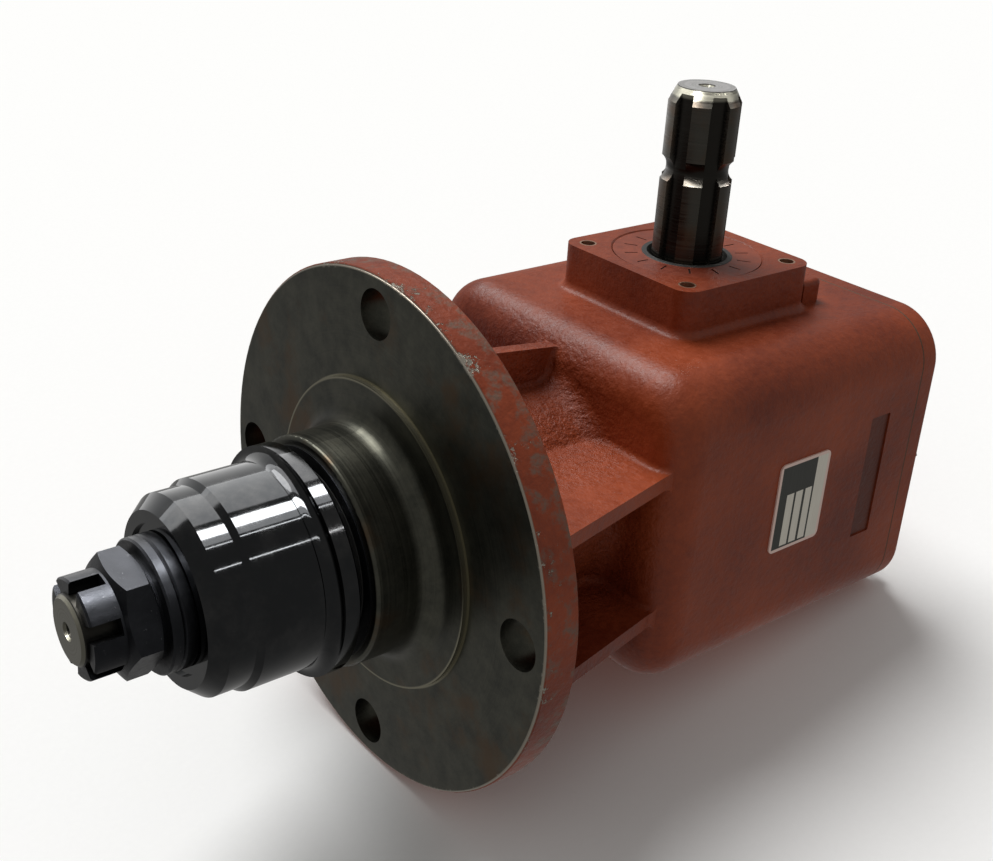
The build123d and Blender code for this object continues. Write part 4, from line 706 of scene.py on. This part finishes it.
NODE_FINISH = {
    "housing": "painted_casting",
    "rear_cover": "painted_casting",
    "cover_gasket": "gasket_paper",
    "cover_bolts": "zinc_steel",
    "filler_breather_plug": "zinc_steel",
    "oil_level_plug": "zinc_steel",
    "plug_washers": "washer_aluminium",
    "nameplate": "plate_aluminium",
    "input_seal_case": "painted_seal",
    "input_end_cap": "painted_seal",
    "input_seal_lip": "seal_rubber",
    "output_seal_lip": "seal_rubber",
    "output_seal_case": "black_oxide_steel",
    "input_shaft": "splined_steel",
    "input_bevel_gear": "gear_steel",
    "output_pinion_shaft": "gear_steel",
    "output_spacer": "gear_steel",
    "output_hub": "polished_black_steel",
    "inner_washer": "black_oxide_steel",
    "outer_washer": "black_oxide_steel",
    "castle_nut": "black_oxide_steel",
    "input_seal_spring": "spring_steel_in",
    "input_upper_snap_ring": "spring_steel_in",
    "input_lower_snap_ring": "spring_steel_in",
    "input_upper_shim": "spring_steel_in",
    "input_lower_shim": "spring_steel_in",
    "output_seal_spring": "spring_steel_out",
    "output_shim": "spring_steel_out",
}
BEARINGS = (("input_upper", "in"), ("input_lower", "in"), ("output_inner", "out"), ("output_outer", "out"))
for bearing, side in BEARINGS:
    NODE_FINISH[bearing + "_bearing_cage"] = "cage_steel"
    for piece in ("cup", "cone", "rollers"):
        NODE_FINISH[f"{bearing}_bearing_{piece}"] = "bearing_steel_" + side

for node_name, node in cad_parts.items():
    for slot in node.material_slots:
        slot.link = "OBJECT"
        slot.material = FINISHES[NODE_FINISH[node_name]]

# The gearbox leans on its flange's rim and the cover's lower edge, so the floor tilts by this much
# about Y. It reaches far enough for its edge to lie at its horizon. It doesn't show in reflections, and
# it throws no light on the gearbox.
FLOOR_TILT = math.radians(8.95)
FLOOR_POINT = np.array((0.0085, 0.0, -0.1203))
FLOOR_REACH = 90.0
floor_x = np.array((math.cos(FLOOR_TILT), 0.0, math.sin(FLOOR_TILT))) * FLOOR_REACH
floor_y = np.array((0.0, FLOOR_REACH, 0.0))
floor_corners = [FLOOR_POINT + a * floor_x + b * floor_y for a, b in ((-1, -1), (1, -1), (1, 1), (-1, 1))]
floor_mesh = bpy.data.meshes.new("studio_floor")
floor_mesh.from_pydata([tuple(corner) for corner in floor_corners], [], [(0, 1, 2, 3)])
floor = bpy.data.objects.new("studio_floor", floor_mesh)
scene.collection.objects.link(floor)
floor_mesh.materials.append(finish("matt_studio_paper", floor_paper))
floor.visible_glossy = False
floor.visible_diffuse = False

SURROUND_STRENGTH = 0.34
sky = bpy.data.worlds.new("studio_surround")
sky.use_nodes = True
surround = sky.node_tree.nodes["Background"]
surround.inputs["Color"].default_value = linear("#F7F6F4")
surround.inputs["Strength"].default_value = SURROUND_STRENGTH
scene.world = sky

# The key is as soft as a large overhead diffuser, and shines from this direction.
KEY_FROM = Vector((-0.02, 0.78, 1.25))
KEY_ENERGY = 2.75
KEY_ANGLE = math.radians(38.0)
key_data = bpy.data.lights.new("overhead_key", "SUN")
key_data.energy = KEY_ENERGY
key_data.angle = KEY_ANGLE
key = bpy.data.objects.new("overhead_key", key_data)
key.matrix_world = (-KEY_FROM).to_track_quat("-Z", "Y").to_matrix().to_4x4()
scene.collection.objects.link(key)

# Panels and tubes that only glint: they draw bright bands on these pieces, and light nothing else.
BRIGHT_PARTS = (
    "output_hub", "inner_washer", "outer_washer", "castle_nut", "output_pinion_shaft",
    "output_seal_case", "input_shaft", "filler_breather_plug", "oil_level_plug", "cover_bolts",
)
bright_parts = bpy.data.collections.new("bright_parts")
for node_name in BRIGHT_PARTS:
    bright_parts.objects.link(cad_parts[node_name])

# Each panel's name, place, width and power. All are this long, and lie along X.
GLINT_LENGTH = 2.6
GLINTS = (
    ("long_panel", (0.4, -0.02, 1.02), 0.20, 80.0),
    ("upper_tube", (0.4, -0.30, 0.95), 0.012, 3.6),
    ("lower_tube", (0.4, -0.66, 0.72), 0.010, 4.0),
    ("front_panel", (0.4, -0.16, 1.0), 0.20, 9.0),
    ("back_panel", (0.4, 0.62, 0.85), 0.95, 34.0),
    ("side_panel", (0.4, 1.2, 0.30), 1.0, 9.0),
)
for name, place, width, watts in GLINTS:
    panel = bpy.data.lights.new(name, "AREA")
    panel.shape = "RECTANGLE"
    panel.size = width
    panel.size_y = GLINT_LENGTH
    panel.energy = watts
    glint = bpy.data.objects.new(name, panel)
    # It is turned about X to face the output shaft's axis, and its long side is laid along X.
    facing = Matrix.Rotation(math.atan2(place[1], place[2]), 4, "X").inverted()
    glint.matrix_world = Matrix.Translation(place) @ facing @ Matrix.Rotation(math.pi / 2, 4, "Z")
    glint.visible_diffuse = False
    scene.collection.objects.link(glint)
    glint.light_linking.receiver_collection = bright_parts

CAMERA_PLACE = Vector((-0.29286, -0.43474, 0.30671))
CAMERA_RIGHT = Vector((0.7852544, -0.6166215, 0.0561560))
CAMERA_DOWN = Vector((-0.23009, -0.374805, -0.8980979))
CAMERA_FORWARD = Vector((0.574834, 0.6923144, -0.4361957))
CAMERA_SENSOR_MM = 36.0
CAMERA_LENS_MM = 49.494
CAMERA_NEAR = 0.01
CAMERA_FAR = 400.0
camera_data = bpy.data.cameras.new("camera")
camera_data.sensor_fit = "HORIZONTAL"
camera_data.sensor_width = CAMERA_SENSOR_MM
camera_data.lens = CAMERA_LENS_MM
camera_data.clip_start = CAMERA_NEAR
camera_data.clip_end = CAMERA_FAR
camera = bpy.data.objects.new("camera", camera_data)
camera_turn = Matrix((CAMERA_RIGHT, -CAMERA_DOWN, -CAMERA_FORWARD)).transposed().to_4x4()
camera.matrix_world = Matrix.Translation(CAMERA_PLACE) @ camera_turn
scene.collection.objects.link(camera)
scene.camera = camera
scene.view_settings.view_transform = "Standard"
